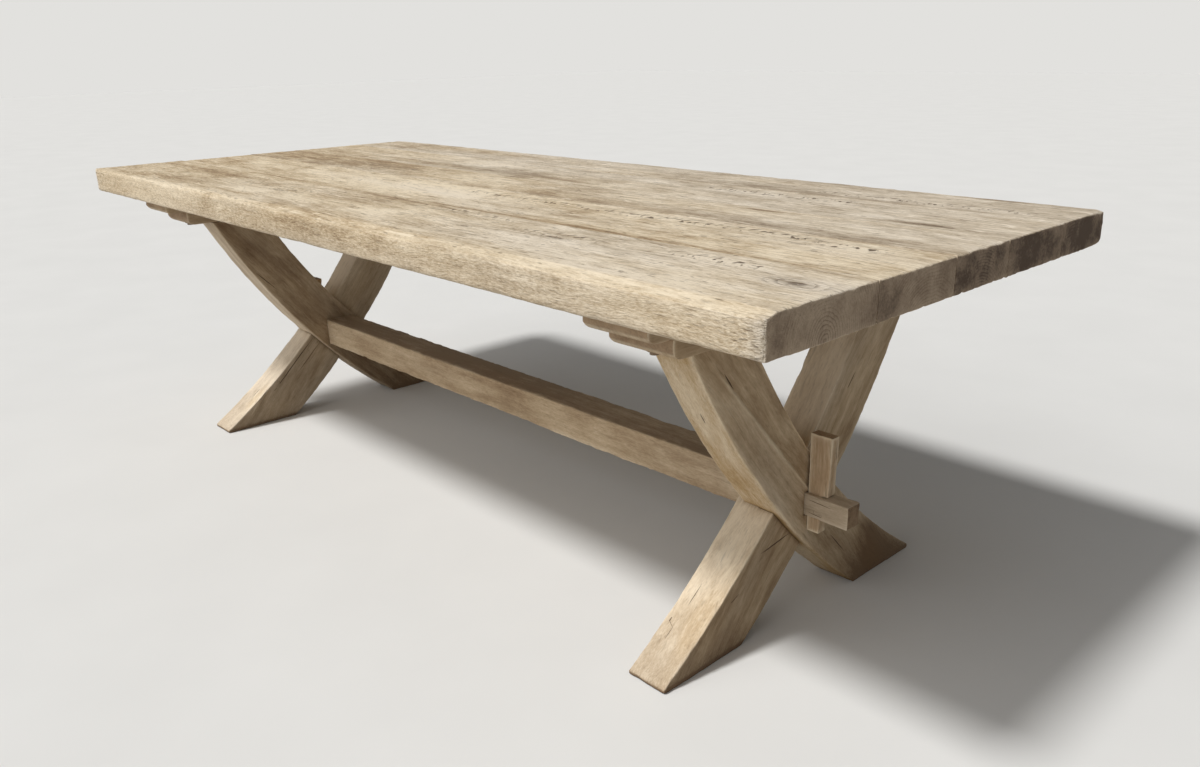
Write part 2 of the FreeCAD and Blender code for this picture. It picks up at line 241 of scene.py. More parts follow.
def carve(piece, tool, operation):
    """Takes the tool away from the piece or joins it on; the tool is used up."""
    change = piece.modifiers.new("carve", "BOOLEAN")
    change.operation = operation
    change.solver = "MANIFOLD"
    change.object = tool
    settled_mesh(piece)
    bpy.data.objects.remove(tool)


def plain_block(name, low, high):
    """A block with sharp edges, for cutting."""
    low = np.asarray(low, float)
    flat, quads = block(np.asarray(high) - low, np.full(3, CUTTER_STEP), np.full(3, CUTTER_EDGE))
    return solid(name, flat + low, quads)


def spots_of(mesh):
    """A mesh's points as an array."""
    spots = np.zeros(len(mesh.vertices) * 3, np.float32)
    mesh.vertices.foreach_get("co", spots)
    return spots.reshape(-1, 3).astype(float)


def normals_of(mesh):
    """A mesh's point normals as an array."""
    normals = np.zeros(len(mesh.vertices) * 3, np.float32)
    mesh.vertex_normals.foreach_get("vector", normals)
    return normals.reshape(-1, 3).astype(float)


def dress(piece, node, body, material, seed, basis, origin, local, size, look, closed=()):
    """Gives a piece its grain, figure, tone and wear, its material, and its place in the frame."""
    mesh = piece.data
    spots = spots_of(mesh)
    ways = normals_of(mesh)
    count = len(spots)
    grain = (spots - origin) @ np.asarray(basis).T
    flat = np.clip(local(spots), 0.0, size)
    rim = np.exp(-edge_distance(flat, size, closed) / look.get("wear_reach", WEAR_REACH))
    layers = {
        "grain": grain + seed * GRAIN_SHIFT,
        "end": np.abs(ways @ np.asarray(basis)[0]),
        "wear": rim * (WEAR_EVEN + (1.0 - WEAR_EVEN) * noise(spots, WEAR_SIZE, seed)),
        "tone": waves(spots, TONE_WAVES, seed + 5),
        "ring": rings(grain, look["pith"], seed),
        "bleach": np.full(count, look.get("bleach", PLAIN_BLEACH)),
        "fuzz": np.full(count, look.get("fuzz", PLAIN_FUZZ)),
        "knot": np.zeros(count),
        "row_offset": np.full(count, FAR_AWAY),
        "row_beat": np.zeros(count),
        "row_show": np.zeros(count),
        "split_offset": np.full(count, FAR_AWAY),
        "split_show": np.zeros(count),
    }
    to_end = np.minimum(flat[:, 0], size[0] - flat[:, 0])
    for axis, side in closed:
        to_side = size[axis] - flat[:, axis] if side else flat[:, axis]
        corner = soft_step(-to_end, *CORNER_END) * (to_side < CORNER_SIDE)
        layers["end"] = np.maximum(layers["end"], corner)
    for name, marks in look.get("marks", {}).items():
        for mark in marks:
            layers[name] += mark(spots)
    for write in [*look.get("rows", ()), *look.get("splits", ())]:
        write(spots, ways, layers)
    for name, values in layers.items():
        vector = values.ndim == 2
        layer = mesh.attributes.new(name, "FLOAT_VECTOR" if vector else "FLOAT", "POINT")
        layer.data.foreach_set("vector" if vector else "value", values.astype(np.float32).ravel())
    mesh.materials.clear()
    mesh.materials.append(material)
    mesh.shade_smooth()
    mesh.set_sharp_from_angle(angle=SHARP_ANGLE)
    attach(piece, body)
    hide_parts(node)


RING_WIDTH = 0.0052
RING_BEND_SIZE = 0.45
RING_SWING_SIZE = 0.62
RING_RIPPLE = 0.006
RING_RIPPLE_SIZE = (0.2, 0.07, 0.07)


def rings(grain, pith, seed):
    """Years of growth from the pith, whose line winds below or beside the piece."""
    across, below, swing, bend = pith
    line = grain * ALONG
    wander = bend * noise(line, RING_BEND_SIZE, seed + 7)
    ripple = RING_RIPPLE * noise(grain, RING_RIPPLE_SIZE, seed + 9)
    depth = below + swing * noise(line, RING_SWING_SIZE, seed + 8) + ripple
    return np.hypot(grain[:, 1] - across - wander, grain[:, 2] + depth) / RING_WIDTH


def patch(middle, reach, amount):
    """A soft spot of tone about a place; a reach of None runs on along that axis."""
    def shade(spots):
        total = np.zeros(len(spots))
        for axis in range(3):
            if reach[axis] is not None:
                total += ((spots[:, axis] - middle[axis]) / reach[axis]) ** 2
        return amount * np.exp(-total)
    return shade


def level(amount):
    """The same mark all over a piece."""
    return lambda spots: np.full(len(spots), amount)


ROW_FADE = 0.06
ROW_WAVES = ((0.014, 0.26), (0.004, 0.05))
ROW_REACH = 0.034
ROW_LIGHT = 0.5
ROW_FACING = (0.6, 0.9)


def row(start, stop, middle, spacing, amount, seed):
    """A row of small dark ticks along the table on an upward face, where the growth rings run out."""
    def write(spots, ways, layers):
        x = spots[:, 0]
        offset = spots[:, 1] - middle - waves(spots * ALONG, ROW_WAVES, seed)
        show = stretch(x, start, stop, ROW_FADE, ROW_FADE) * soft_step(ways[:, 2], *ROW_FACING)
        show = show * np.exp(-(offset / ROW_REACH) ** 2)
        nearer = show > layers["row_show"]
        layers["row_offset"][nearer] = offset[nearer]
        layers["row_beat"][nearer] = (x / spacing + seed)[nearer]
        layers["row_show"][nearer] = (amount * show)[nearer]
        layers["tone"] += ROW_LIGHT * amount * show
    return write


SPLIT_SKIN = 0.012
SPLIT_REACH = 0.02
SPLIT_FACING = (0.4, 0.8)
SPLIT_START = (-0.05, 0.3)
SPLIT_STOP = (-1.05, -0.6)


def split(start, stop, face, width):
    """A drying split on a flat face from one place to another; width is its greatest half width."""
    start = np.array(start)
    run = np.array(stop) - start
    length = np.linalg.norm(run)
    run = run / length
    face = np.array(face)
    side = np.cross(run, face)

    def write(spots, ways, layers):
        away = spots - start
        share = (away @ run) / length
        offset = away @ side
        near = np.exp(-((away @ face) / SPLIT_SKIN) ** 2) * soft_step(ways @ face, *SPLIT_FACING)
        show = width * near * soft_step(share, *SPLIT_START) * soft_step(-share, *SPLIT_STOP)
        closer = (np.abs(offset) < SPLIT_REACH) & (show > layers["split_show"])
        layers["split_offset"][closer] = offset[closer]
        layers["split_show"][closer] = show[closer]
    return write


# Shaders
class Shader:
    """The nodes of a material or world, with short ways to add the kinds used here."""

    def __init__(self, owner):
        owner.use_nodes = True
        self.owner = owner
        self.tree = owner.node_tree
        self.surface = self.tree.nodes.get("Principled BSDF")

    def feed(self, socket, value):
        if isinstance(value, bpy.types.NodeSocket):
            self.tree.links.new(value, socket)
        else:
            socket.default_value = value

    def add(self, kind, settings, inputs):
        node = self.tree.nodes.new(kind)
        for name, value in settings.items():
            setattr(node, name, value)
        for place, value in inputs.items():
            self.feed(node.inputs[place], value)
        return node

    def read(self, name, output):
        return self.add("ShaderNodeAttribute", {"attribute_name": name}, {}).outputs[output]

    def math(self, operation, *values):
        return self.add("ShaderNodeMath", {"operation": operation}, dict(enumerate(values))).outputs[0]

    def product(self, value, *others):
        for other in others:
            value = self.math("MULTIPLY", value, other)
        return value

    def place(self):
        """Coordinates in the frame, for pieces without a grain of their own."""
        return self.add("ShaderNodeTexCoord", {}, {}).outputs["Object"]

    def direct(self):
        """1 for rays of the camera and of glossy surfaces, 0 for the rest."""
        rays = self.add("ShaderNodeLightPath", {}, {}).outputs
        return self.math("MAXIMUM", rays["Is Camera Ray"], rays["Is Glossy Ray"])

    def vector(self, operation, *values):
        return self.add("ShaderNodeVectorMath", {"operation": operation}, dict(enumerate(values))).outputs[0]

    def noise(self, vector, stretch, detail=2.0, roughness=0.5):
        scaled = self.vector("MULTIPLY", vector, stretch)
        inputs = {"Vector": scaled, "Scale": 1.0, "Detail": detail, "Roughness": roughness}
        return self.add("ShaderNodeTexNoise", {}, inputs).outputs[0]

    def drift(self, vector, stretch):
        """Three noises about zero, to push coordinates aside."""
        inputs = {"Vector": self.vector("MULTIPLY", vector, stretch), "Scale": 1.0, "Detail": 2.0}
        cloud = self.add("ShaderNodeTexNoise", {}, inputs).outputs[1]
        return self.vector("SUBTRACT", cloud, (0.5, 0.5, 0.5))

    def span(self, value, low, high, start=0.0, stop=1.0):
        inputs = {0: value, 1: low, 2: high, 3: start, 4: stop}
        return self.add("ShaderNodeMapRange", {"interpolation_type": "SMOOTHSTEP"}, inputs).outputs[0]

    def mix(self, factor, first, second):
        inputs = {0: factor, 6: first, 7: second}
        return self.add("ShaderNodeMix", {"data_type": "RGBA"}, inputs).outputs[2]

    def total(self, *terms):
        """The sum of values times their shares."""
        result = 0.0
        for value, share in terms:
            result = self.math("MULTIPLY_ADD", value, share, result)
        return result

    def ramp(self, factor, stops):
        node = self.add("ShaderNodeValToRGB", {}, {0: factor})
        elements = node.color_ramp.elements
        while len(elements) < len(stops):
            elements.new(1.0)
        for element, (place, colour) in zip(elements, stops):
            element.position = place
            element.color = colour
        return node.outputs[0]


def paint(red, green, blue):
    """A colour written as 0 to 255 in the usual display scale, as the shader takes it."""
    values = [channel / 255.0 for channel in (red, green, blue)]
    return (*[v / 12.92 if v <= 0.04045 else ((v + 0.055) / 1.055) ** 2.4 for v in values], 1.0)


LAYERS = ("tone", "wear", "end", "ring", "bleach", "fuzz", "knot", "row_offset", "row_beat", "row_show",
          "split_offset", "split_show")
# How far the grain wanders: the noise's stretch along and across it, and the push to the sides
DRIFTS = ((3.4, 5.0, 0.030), (14.0, 24.0, 0.006))
# Noises for the tone: stretch along and across the grain, detail, roughness
FIELDS = {
    "streak": (3.6, 58.0, 3.0, 0.6), "band": (1.6, 17.0, 3.0, 0.55), "cloud": (7.0, 17.0, 4.0, 0.65),
    "fine": (15.0, 300.0, 3.0, 0.6), "short": (13.0, 118.0, 2.0, 0.6), "hair": (60.0, 1300.0, 1.0, 0.5),
    "grit": (95.0, 360.0, 3.0, 0.7),
}
LEVELS = ("streak", "band", "cloud", "fine", "short", "hair")
# Noises for the marks: stretch along and across the grain, detail, where a mark begins and where it is full
MARKS = {
    "cluster": (8.0, 24.0, 2.0, 0.40, 0.62), "spark": (22.0, 130.0, 2.0, 0.55, 0.68),
    "pore": (30.0, 420.0, 1.0, 0.60, 0.72), "dash": (13.0, 130.0, 2.0, 0.62, 0.72),
    "fleck": (38.0, 170.0, 1.0, 0.64, 0.72), "tear": (85.0, 560.0, 1.0, 0.60, 0.70),
}
ROUGH_FROM, ROUGH_TO = 0.58, 0.80
MOST_DARK = 0.9
TICK_ROUND = 4e-6
TICK_SLANT = 46.0
TICK_FINE = 44.0
CRACK_SOFT = 0.0006
CRACK_WANDER = 0.003
BUMP_DEPTH = 0.0012
ROUGHNESS = 0.70
SHINE = 0.22


def oak(name, colours, look, packed=False):
    """Dry oak: streaks and fibres along the grain, growth rings, pores, splits, worn edges and end grain."""
    s = Shader(bpy.data.materials.new(name))
    grain = s.place() if packed else s.read("grain", "Vector")
    layer = {key: s.read(key, "Fac") for key in LAYERS}
    tone, wear, fuzz, bleach = layer["tone"], layer["wear"], layer["fuzz"], layer["bleach"]

    # Colour along the grain, which wanders a little to the sides
    bent = grain
    for along, across, push in DRIFTS:
        bent = s.vector("MULTIPLY_ADD", s.drift(grain, (along, across, across)), (0.0, push, push), bent)
    field = {}
    for key, (along, across, detail, roughness) in FIELDS.items():
        field[key] = s.noise(bent, (along, across, across), detail, roughness)
    mark = {}
    for key, (along, across, detail, low, high) in MARKS.items():
        mark[key] = s.span(s.noise(bent, (along, across, across), detail), low, high)
    fine, grit = field["fine"], field["grit"]
    calm = s.span(fuzz, ROUGH_FROM, ROUGH_TO, 1.0, 0.35)
    mark["spark"] = s.product(mark["spark"], mark["cluster"], calm)
    rough_grit = s.product(s.math("SUBTRACT", grit, 0.5), fuzz)
    value = s.total(*[(field[key], look[key]) for key in LEVELS])
    value = s.math("ADD", value, -0.5 * sum(look[key] for key in LEVELS))
    value = s.math("MULTIPLY_ADD", value, s.span(fuzz, ROUGH_FROM, ROUGH_TO, 1.0, 0.55), 0.5)
    value = s.total((rough_grit, look["grit"]), (tone, look["tone"]), (wear, look["wear"]),
                    (mark["spark"], look["spark"]), (value, 1.0))
    colour = s.ramp(value, [(0.0, colours["dark"]), (0.35, colours["mid"]), (0.6, colours["body"]),
                            (0.95, colours["light"])])
    pale = s.ramp(value, [(0.0, colours["grey_dark"]), (0.5, colours["grey"]), (0.95, colours["grey_light"])])
    dull = s.noise(grain, (1.3, 8.0, 8.0), 2.0)
    colour = s.mix(s.span(s.math("ADD", dull, bleach), 0.55, 1.15), colour, pale)
    honey = s.ramp(value, [(0.0, colours["honey_dark"]), (0.5, colours["honey"]), (0.95, colours["light"])])
    colour = s.mix(s.span(bleach, -0.5, 0.0, 1.0, 0.0), colour, honey)

    # Pores, ring lines, the rows of dark ticks, the knots and the splits
    mark["dash"] = s.product(mark["dash"], calm)
    mark["fleck"] = s.product(mark["fleck"], calm)
    mark["tear"] = s.product(mark["tear"], s.span(fuzz, 0.6, 1.6))
    sway = s.noise(grain, (7.0, 30.0, 30.0))
    rise = s.math("FRACT", s.total((sway, 1.6), (grit, 0.5), (layer["ring"], 1.0)))
    late = s.product(s.span(rise, 0.45, 0.9), s.span(rise, 0.92, 1.0, 1.0, 0.0))
    offset = layer["row_offset"]
    arm = s.math("SQRT", s.total((s.product(offset, offset), 1.0), (1.0, TICK_ROUND)))
    jitter = s.noise(grain, (24.0, 7.0, 7.0), 2.0)
    run = s.total((arm, TICK_SLANT), (jitter, 1.2), (layer["row_beat"], 1.0))
    spot = s.add("ShaderNodeCombineXYZ", {}, {0: run, 1: s.product(offset, TICK_FINE)}).outputs[0]
    tick = s.span(s.noise(spot, (1.0, 1.0, 1.0), 1.0), 0.53, 0.66)
    tick = s.product(tick, s.span(arm, 0.004, 0.030, 1.0, 0.0), layer["row_show"])
    swirl = s.math("FRACT", s.total((layer["knot"], 3.4), (sway, 1.2), (grit, 0.5)))
    swirl = s.product(s.span(swirl, 0.50, 0.90), s.span(layer["knot"], 0.12, 0.5))
    eye = s.span(s.total((grit, 0.4), (layer["knot"], 1.0)), 0.75, 1.15)
    crooked = s.math("SUBTRACT", s.noise(grain, (13.0, 34.0, 34.0), 2.0), 0.5)
    gap = s.math("ABSOLUTE", s.total((crooked, CRACK_WANDER), (layer["split_offset"], 1.0)))
    crack = s.span(s.math("SUBTRACT", layer["split_show"], gap), -CRACK_SOFT, CRACK_SOFT)
    drawn = [(mark[key], look[key]) for key in ("pore", "dash", "fleck", "tear")]
    dark = s.total(*drawn, (late, look["late"]), (swirl, 0.40), (eye, 0.30), (tick, 1.0), (crack, 0.9))
    dark = s.math("MINIMUM", dark, MOST_DARK)
    colour = s.mix(dark, colour, colours["check"])

    # End grain
    stain = s.span(s.noise(grain, (3.0, 27.0, 24.0), 5.0, 0.68), 0.38, 0.62)
    patches = s.noise(grain, (3.0, 9.0, 14.0), 4.0, 0.62)
    beam = s.noise(grain, (3.0, 190.0, 40.0), 2.0, 0.6)
    crumb = s.noise(grain, (240.0, 240.0, 240.0), 2.0, 0.6)
    core = s.span(layer["ring"], 5.0, 11.0, 1.0, 0.0)
    heart = s.math("MAXIMUM", s.span(patches, 0.46, 0.62, 0.0, 0.6), core)
    value = s.total((s.product(late, heart), -0.36), (stain, 0.25), (patches, 0.90), (beam, 0.1),
                    (crumb, 0.55), (tone, 0.35), (wear, 0.42))
    value = s.math("SUBTRACT", value, 0.42)
    end_steps = [(0.05, colours["end_dark"]), (0.5, colours["end"]), (0.95, colours["end_light"])]
    end_colour = s.ramp(value, end_steps)
    end_colour = s.mix(s.product(crack, MOST_DARK), end_colour, colours["check"])
    colour = s.mix(s.span(layer["end"], 0.72, 0.93), colour, end_colour)
    s.feed(s.surface.inputs["Base Color"], colour)

    # Surface
    rough = s.total((fine, 0.14), (dark, 0.10), (wear, -0.06), (grit, 0.08))
    s.feed(s.surface.inputs["Roughness"], s.math("ADD", rough, ROUGHNESS))
    s.feed(s.surface.inputs["Specular IOR Level"], SHINE)
    ragged = s.product(s.math("SUBTRACT", crumb, 0.5), wear)
    height = s.total((fine, 0.5), (field["hair"], 0.2), (rough_grit, 1.8), (field["streak"], 0.35),
                     (mark["spark"], 0.25), (dark, -1.1), (ragged, 2.4), (crack, -1.5))
    bump = s.add("ShaderNodeBump", {}, {"Strength": look["lift"], "Distance": BUMP_DEPTH, "Height": height})
    s.feed(s.surface.inputs["Normal"], bump.outputs[0])
    return s.owner


TOP_COLOURS = {
    "dark": paint(142, 118, 88), "mid": paint(187, 166, 135), "body": paint(208, 190, 161),
    "light": paint(231, 215, 188), "check": paint(74, 56, 40),
    "grey_dark": paint(150, 134, 113), "grey": paint(197, 183, 162), "grey_light": paint(228, 216, 198),
    "end": paint(160, 141, 121), "end_dark": paint(89, 74, 61), "end_light": paint(194, 175, 152),
    "honey_dark": paint(132, 104, 68), "honey": paint(192, 166, 126),
}
FRAME_COLOURS = {
    "dark": paint(128, 102, 75), "mid": paint(174, 150, 120), "body": paint(200, 178, 147),
    "light": paint(230, 213, 185), "check": paint(70, 53, 40),
    "grey_dark": paint(140, 121, 99), "grey": paint(187, 169, 145), "grey_light": paint(222, 207, 185),
    "end": paint(140, 117, 92), "end_dark": paint(86, 67, 51), "end_light": paint(176, 152, 124),
    "honey_dark": paint(122, 94, 58), "honey": paint(184, 155, 113),
}
KEY_COLOURS = dict(FRAME_COLOURS, mid=paint(172, 146, 116), body=paint(196, 171, 140),
                   honey_dark=paint(120, 90, 64), honey=paint(182, 150, 118))
TOP_LOOK = {
    "streak": 0.50, "band": 0.5, "cloud": 1.15, "short": 0.95, "fine": 0.65, "hair": 0.12, "grit": 1.9,
    "tone": 0.46, "wear": 0.32, "spark": 0.45, "pore": 0.24, "dash": 0.34, "fleck": 0.42, "tear": 0.5,
    "late": 0.05, "lift": 0.8,
}
FRAME_LOOK = {
    "streak": 0.60, "band": 0.6, "cloud": 1.05, "short": 0.25, "fine": 0.28, "hair": 0.12, "grit": 0.8,
    "tone": 0.36, "wear": 0.40, "spark": 0.10, "pore": 0.14, "dash": 0.16, "fleck": 0.10, "tear": 0.5,
    "late": 0.02, "lift": 0.5,
}
KEY_LOOK = dict(FRAME_LOOK, fine=0.45, dash=0.3, wear=1.3)

top_oak = oak("bleached_top_oak", TOP_COLOURS, TOP_LOOK)
frame_oak = oak("worn_frame_oak", FRAME_COLOURS, FRAME_LOOK)
key_oak = oak("worn_key_oak", KEY_COLOURS, KEY_LOOK)


# The top's planks
PLANK_STEP = (0.012, 0.004, 0.006)
PLANK_EDGE = (0.030, 0.024, 0.024)
PLANK_BASIS = np.eye(3)
PLANK_WOBBLE = 0.25
PLANK_HOLLOW = 0.0010
PLANK_CHIPS = 0.0034
PLANK_FUZZ = 0.55
JOINT_RADIUS = 0.0016
END_TOP_RADIUS = 0.005
END_LOW_RADIUS = 0.0035
FRONT_CORNER = 0.010
REAR_CORNER = 0.020
REAR_WANE = 0.013
REAR_WANE_REACH = 0.035
FACET_TOP = 0.028
FACET_FRONT = 0.009
FACET_LEAST = 0.3
FACET_GROWTH = (-1.0, 0.1)
FACET_INWARD = ((0.18, 0.30), (0.08, 0.06))
FACET_DOWNWARD = ((0.45, 0.24), (0.2, 0.05))
FACET_SEEN = 0.0008
FACET_LIGHT = 0.02
FACET_GREY = -0.20
FRONT_LOW, FRONT_HIGH = node_box("front_plank")
TOP_Z = FRONT_HIGH[2]
FRONT_Y = FRONT_LOW[1]
END_X = FRONT_HIGH[0]
UPPER_DEPTH = 0.05
UPPER_SKIN = (TOP_Z - 0.02, TOP_Z - 0.01)
FRONT_DEPTH = 0.012
END_SKIN = (END_X - 0.004, END_X - 0.0015)
KNOT_DEPTH = 0.02
GREY_KNOT = (1.15, -0.367, TOP_Z)


def plank_edges(front, rear):
    """Edge radii of a plank; front and rear give the low and the high edge of a side, or None at a joint."""
    sides = [side if side else (JOINT_RADIUS, JOINT_RADIUS) for side in (front, rear)]
    posts = (FRONT_CORNER if front else JOINT_RADIUS, REAR_CORNER if rear else JOINT_RADIUS)
    return {
        (1, 2): tuple(sides),
        (0, 2): ((END_LOW_RADIUS, END_TOP_RADIUS), (END_LOW_RADIUS, END_TOP_RADIUS)),
        (0, 1): (posts, posts),
    }


def rear_wane(flat):
    """Rounder corners at the ends of the rear plank."""
    length, width = np.subtract(*node_box("rear_plank")[::-1])[:2]
    to_end = np.minimum(flat[:, 0], length - flat[:, 0])
    return REAR_WANE * np.exp(-np.hypot(to_end, width - flat[:, 1]) / REAR_WANE_REACH)


def facet_push(points, flat, low, size, seed):
    """How far the front plank's points go in, to leave a shallow facet along its upper edge."""
    line = flat * ALONG
    broad = FACET_LEAST + (1.0 - FACET_LEAST) * soft_step(points[:, 0] + low[0], *FACET_GROWTH)
    inward = FACET_TOP * broad * (1.0 + waves(line, FACET_INWARD, seed + 6))
    downward = FACET_FRONT * broad * (1.0 + waves(line, FACET_DOWNWARD, seed + 8))
    share = points[:, 1] / inward + (size[2] - points[:, 2]) / downward
    return np.clip(1.0 - share, 0.0, None) / (1.0 / inward + 1.0 / downward)


def upper_patch(x, y, reach_x, reach_y, amount):
    """A soft spot of tone on the upper face."""
    return patch((x, y, TOP_Z), (reach_x, reach_y, UPPER_DEPTH), amount)


def upper_area(low_x, high_x, soft_low, soft_high, y, reach_y, amount):
    """A stretch of tone on the upper face with its own softness at each end."""
    def shade(spots):
        along = stretch(spots[:, 0], low_x, high_x, soft_low, soft_high)
        upper = soft_step(spots[:, 2], *UPPER_SKIN)
        return amount * along * upper * np.exp(-((spots[:, 1] - y) / reach_y) ** 2)
    return shade


def front_patch(x, reach_x, amount):
    """A soft spot of tone on the front face."""
    return patch((x, FRONT_Y, 0.0), (reach_x, FRONT_DEPTH, None), amount)


def end_patch_and_shade(y, reach_y, amount):
    """A soft spot of tone on both end faces; the dark spots on the rear planks' ends are partly stain and
    partly painted shade.
    """
    def shade(spots):
        face = soft_step(np.abs(spots[:, 0]), *END_SKIN)
        return amount * face * np.exp(-((spots[:, 1] - y) / reach_y) ** 2)
    return shade


def knot(x, y, reach_x, reach_y):
    """A small knot on the upper face."""
    return patch((x, y, TOP_Z), (reach_x, reach_y, KNOT_DEPTH), 1.0)


# Each mark gives what the function for its kind takes, in that order
PLANKS = {
    "front_plank": {
        "front": (0.008, 0.006), "rear": None, "drop": 0.0, "seed": 11, "bleach": 0.30,
        "pith": (0.130, -0.006, 0.003, 0.004),
        "upper": [
            (0.12, -0.41, 0.10, 0.045, 0.9), (-0.20, -0.44, 0.30, 0.03, 0.5), (0.35, -0.36, 0.25, 0.05, 0.3),
            (-0.95, -0.325, 0.38, 0.022, -0.7), (1.13, -0.365, 0.05, 0.03, -0.6),
            (0.62, -0.35, 0.06, 0.02, -0.6), (1.0, -0.43, 0.35, 0.10, 0.35), (-0.45, -0.34, 0.10, 0.03, -0.6),
            (0.05, -0.282, 0.30, 0.009, -0.5), (-0.6, -0.279, 0.35, 0.008, -0.5),
        ],
        "face": [(-0.30, 0.20, -0.1), (0.1, 0.22, -0.25), (-0.75, 0.3, 0.4), (0.90, 0.3, -0.2)],
        "ends": [(-0.40, 0.12, 0.4), (-0.49, 0.02, -0.5), (-0.31, 0.03, -0.3)],
        "knots": [(1.15, -0.367, 0.050, 0.024), (0.42, -0.392, 0.030, 0.009), (0.64, -0.360, 0.05, 0.010),
                  (-0.34, -0.385, 0.06, 0.012)],
        "rows": [(-0.56, -0.25, -0.365, 0.010, 0.6, 31), (0.16, 0.42, -0.310, 0.010, 0.7, 32),
                 (0.57, 0.69, -0.348, -0.010, 0.8, 33), (0.90, 1.03, -0.318, -0.010, 0.9, 34)],
    },
    "front_inner_plank": {
        "front": None, "rear": None, "drop": 0.0008, "seed": 23, "bleach": 0.12,
        "pith": (0.150, 0.050, 0.045, 0.018),
        "upper": [
            (-0.45, -0.16, 0.55, 0.08, 0.7), (-1.03, -0.155, 0.06, 0.05, -0.45),
            (-0.71, -0.14, 0.03, 0.045, -0.3), (1.0, -0.17, 0.30, 0.05, 0.35),
            (0.46, -0.15, 0.035, 0.045, -0.25), (0.10, -0.15, 0.10, 0.05, 0.8),
            (0.22, -0.262, 0.25, 0.008, -1.1), (0.68, -0.258, 0.20, 0.010, -1.2),
            (0.98, -0.263, 0.16, 0.007, -1.2), (-0.5, -0.263, 0.4, 0.008, -0.6),
            (0.7, -0.20, 0.4, 0.02, -0.4), (0.45, -0.215, 0.25, 0.012, 0.7),
        ],
        "areas": [
            (-0.16, 0.125, 0.12, 0.012, -0.125, 0.06, 0.7), (0.14, 0.44, 0.012, 0.10, -0.12, 0.06, -0.5),
            (-0.735, -0.715, 0.010, 0.03, -0.13, 0.05, -0.3), (0.44, 0.49, 0.01, 0.02, -0.145, 0.05, -0.2),
        ],
        "ends": [(-0.2, 0.06, -0.1)],
        "knots": [(0.98, -0.128, 0.02, 0.007)],
        "rows": [(0.06, 0.44, -0.095, -0.009, 0.8, 37), (0.50, 0.96, -0.092, -0.012, 1.0, 39),
                 (1.02, 1.10, -0.100, 0.012, 1.0, 40)],
    },
    "middle_plank": {
        "front": None, "rear": None, "drop": 0.0002, "seed": 35, "bleach": 0.34,
        "pith": (0.060, 0.080, 0.040, 0.020),
        "upper": [
            (-0.75, 0.03, 0.50, 0.08, -0.9), (-0.06, 0.03, 0.19, 0.07, 0.7),
            (0.62, -0.025, 0.50, 0.028, -0.8), (0.19, -0.01, 0.05, 0.03, -0.5),
            (0.73, 0.103, 0.040, 0.007, -3.0), (-0.75, 0.10, 0.3, 0.02, -0.5),
        ],
        # The dark end spot is partly stain and partly painted shade
        "ends": [(0.03, 0.07, -1.0)],
        "knots": [(-0.42, 0.05, 0.035, 0.010)],
    },
    "rear_inner_plank": {
        "front": None, "rear": None, "drop": 0.0006, "seed": 47, "bleach": 0.50,
        "pith": (0.170, 0.055, 0.050, 0.020),
        "upper": [
            (-0.40, 0.17, 0.35, 0.035, -1.2), (-0.31, 0.265, 0.08, 0.03, 0.9), (-0.56, 0.31, 0.04, 0.03, 0.9),
            (0.27, 0.29, 0.05, 0.03, 0.8), (1.03, 0.157, 0.07, 0.012, -2.0), (0.1, 0.16, 0.3, 0.02, -0.5),
        ],
        # The dark end spot is partly stain and partly painted shade
        "ends": [(0.22, 0.09, -1.2)],
        "knots": [(1.06, 0.158, 0.05, 0.010)],
        "rows": [(0.46, 0.80, 0.290, 0.009, 0.9, 43)],
    },
    "rear_plank": {
        "front": None, "rear": (0.018, 0.014), "drop": 0.0003, "seed": 59, "bleach": 0.60,
        "pith": (0.045, 0.055, 0.050, 0.020),
        "upper": [(1.02, 0.505, 0.06, 0.012, -1.8), (-0.8, 0.45, 0.5, 0.06, -0.4),
                  (0.75, 0.345, 0.3, 0.012, -0.8)],
        # The dark end spot is partly stain and partly painted shade
        "ends": [(0.43, 0.12, -1.3)],
        "rows": [(0.70, 1.10, 0.385, -0.010, 0.8, 47)],
    },
}
TONES = {"upper": upper_patch, "areas": upper_area, "face": front_patch, "ends": end_patch_and_shade}
TOP_FUZZ = [patch((0.0, FRONT_Y, 0.0), (None, 0.008, None), 0.30)]
TOP_GREY = [
    patch(GREY_KNOT, (0.055, 0.024, 0.03), 0.5), patch((-END_X, 0.0, TOP_Z), (0.8, None, 0.03), -0.22),
    patch((0.0, -FRONT_Y, 0.0), (None, 0.012, None), -0.35),
]
for x in (END_X, -END_X):
    TOP_FUZZ.append(patch((x, FRONT_Y, 0.0), (0.07, 0.02, None), 0.6))
    TOP_GREY.append(patch((x, FRONT_Y, 0.0), (0.022, 0.016, None), 0.5))

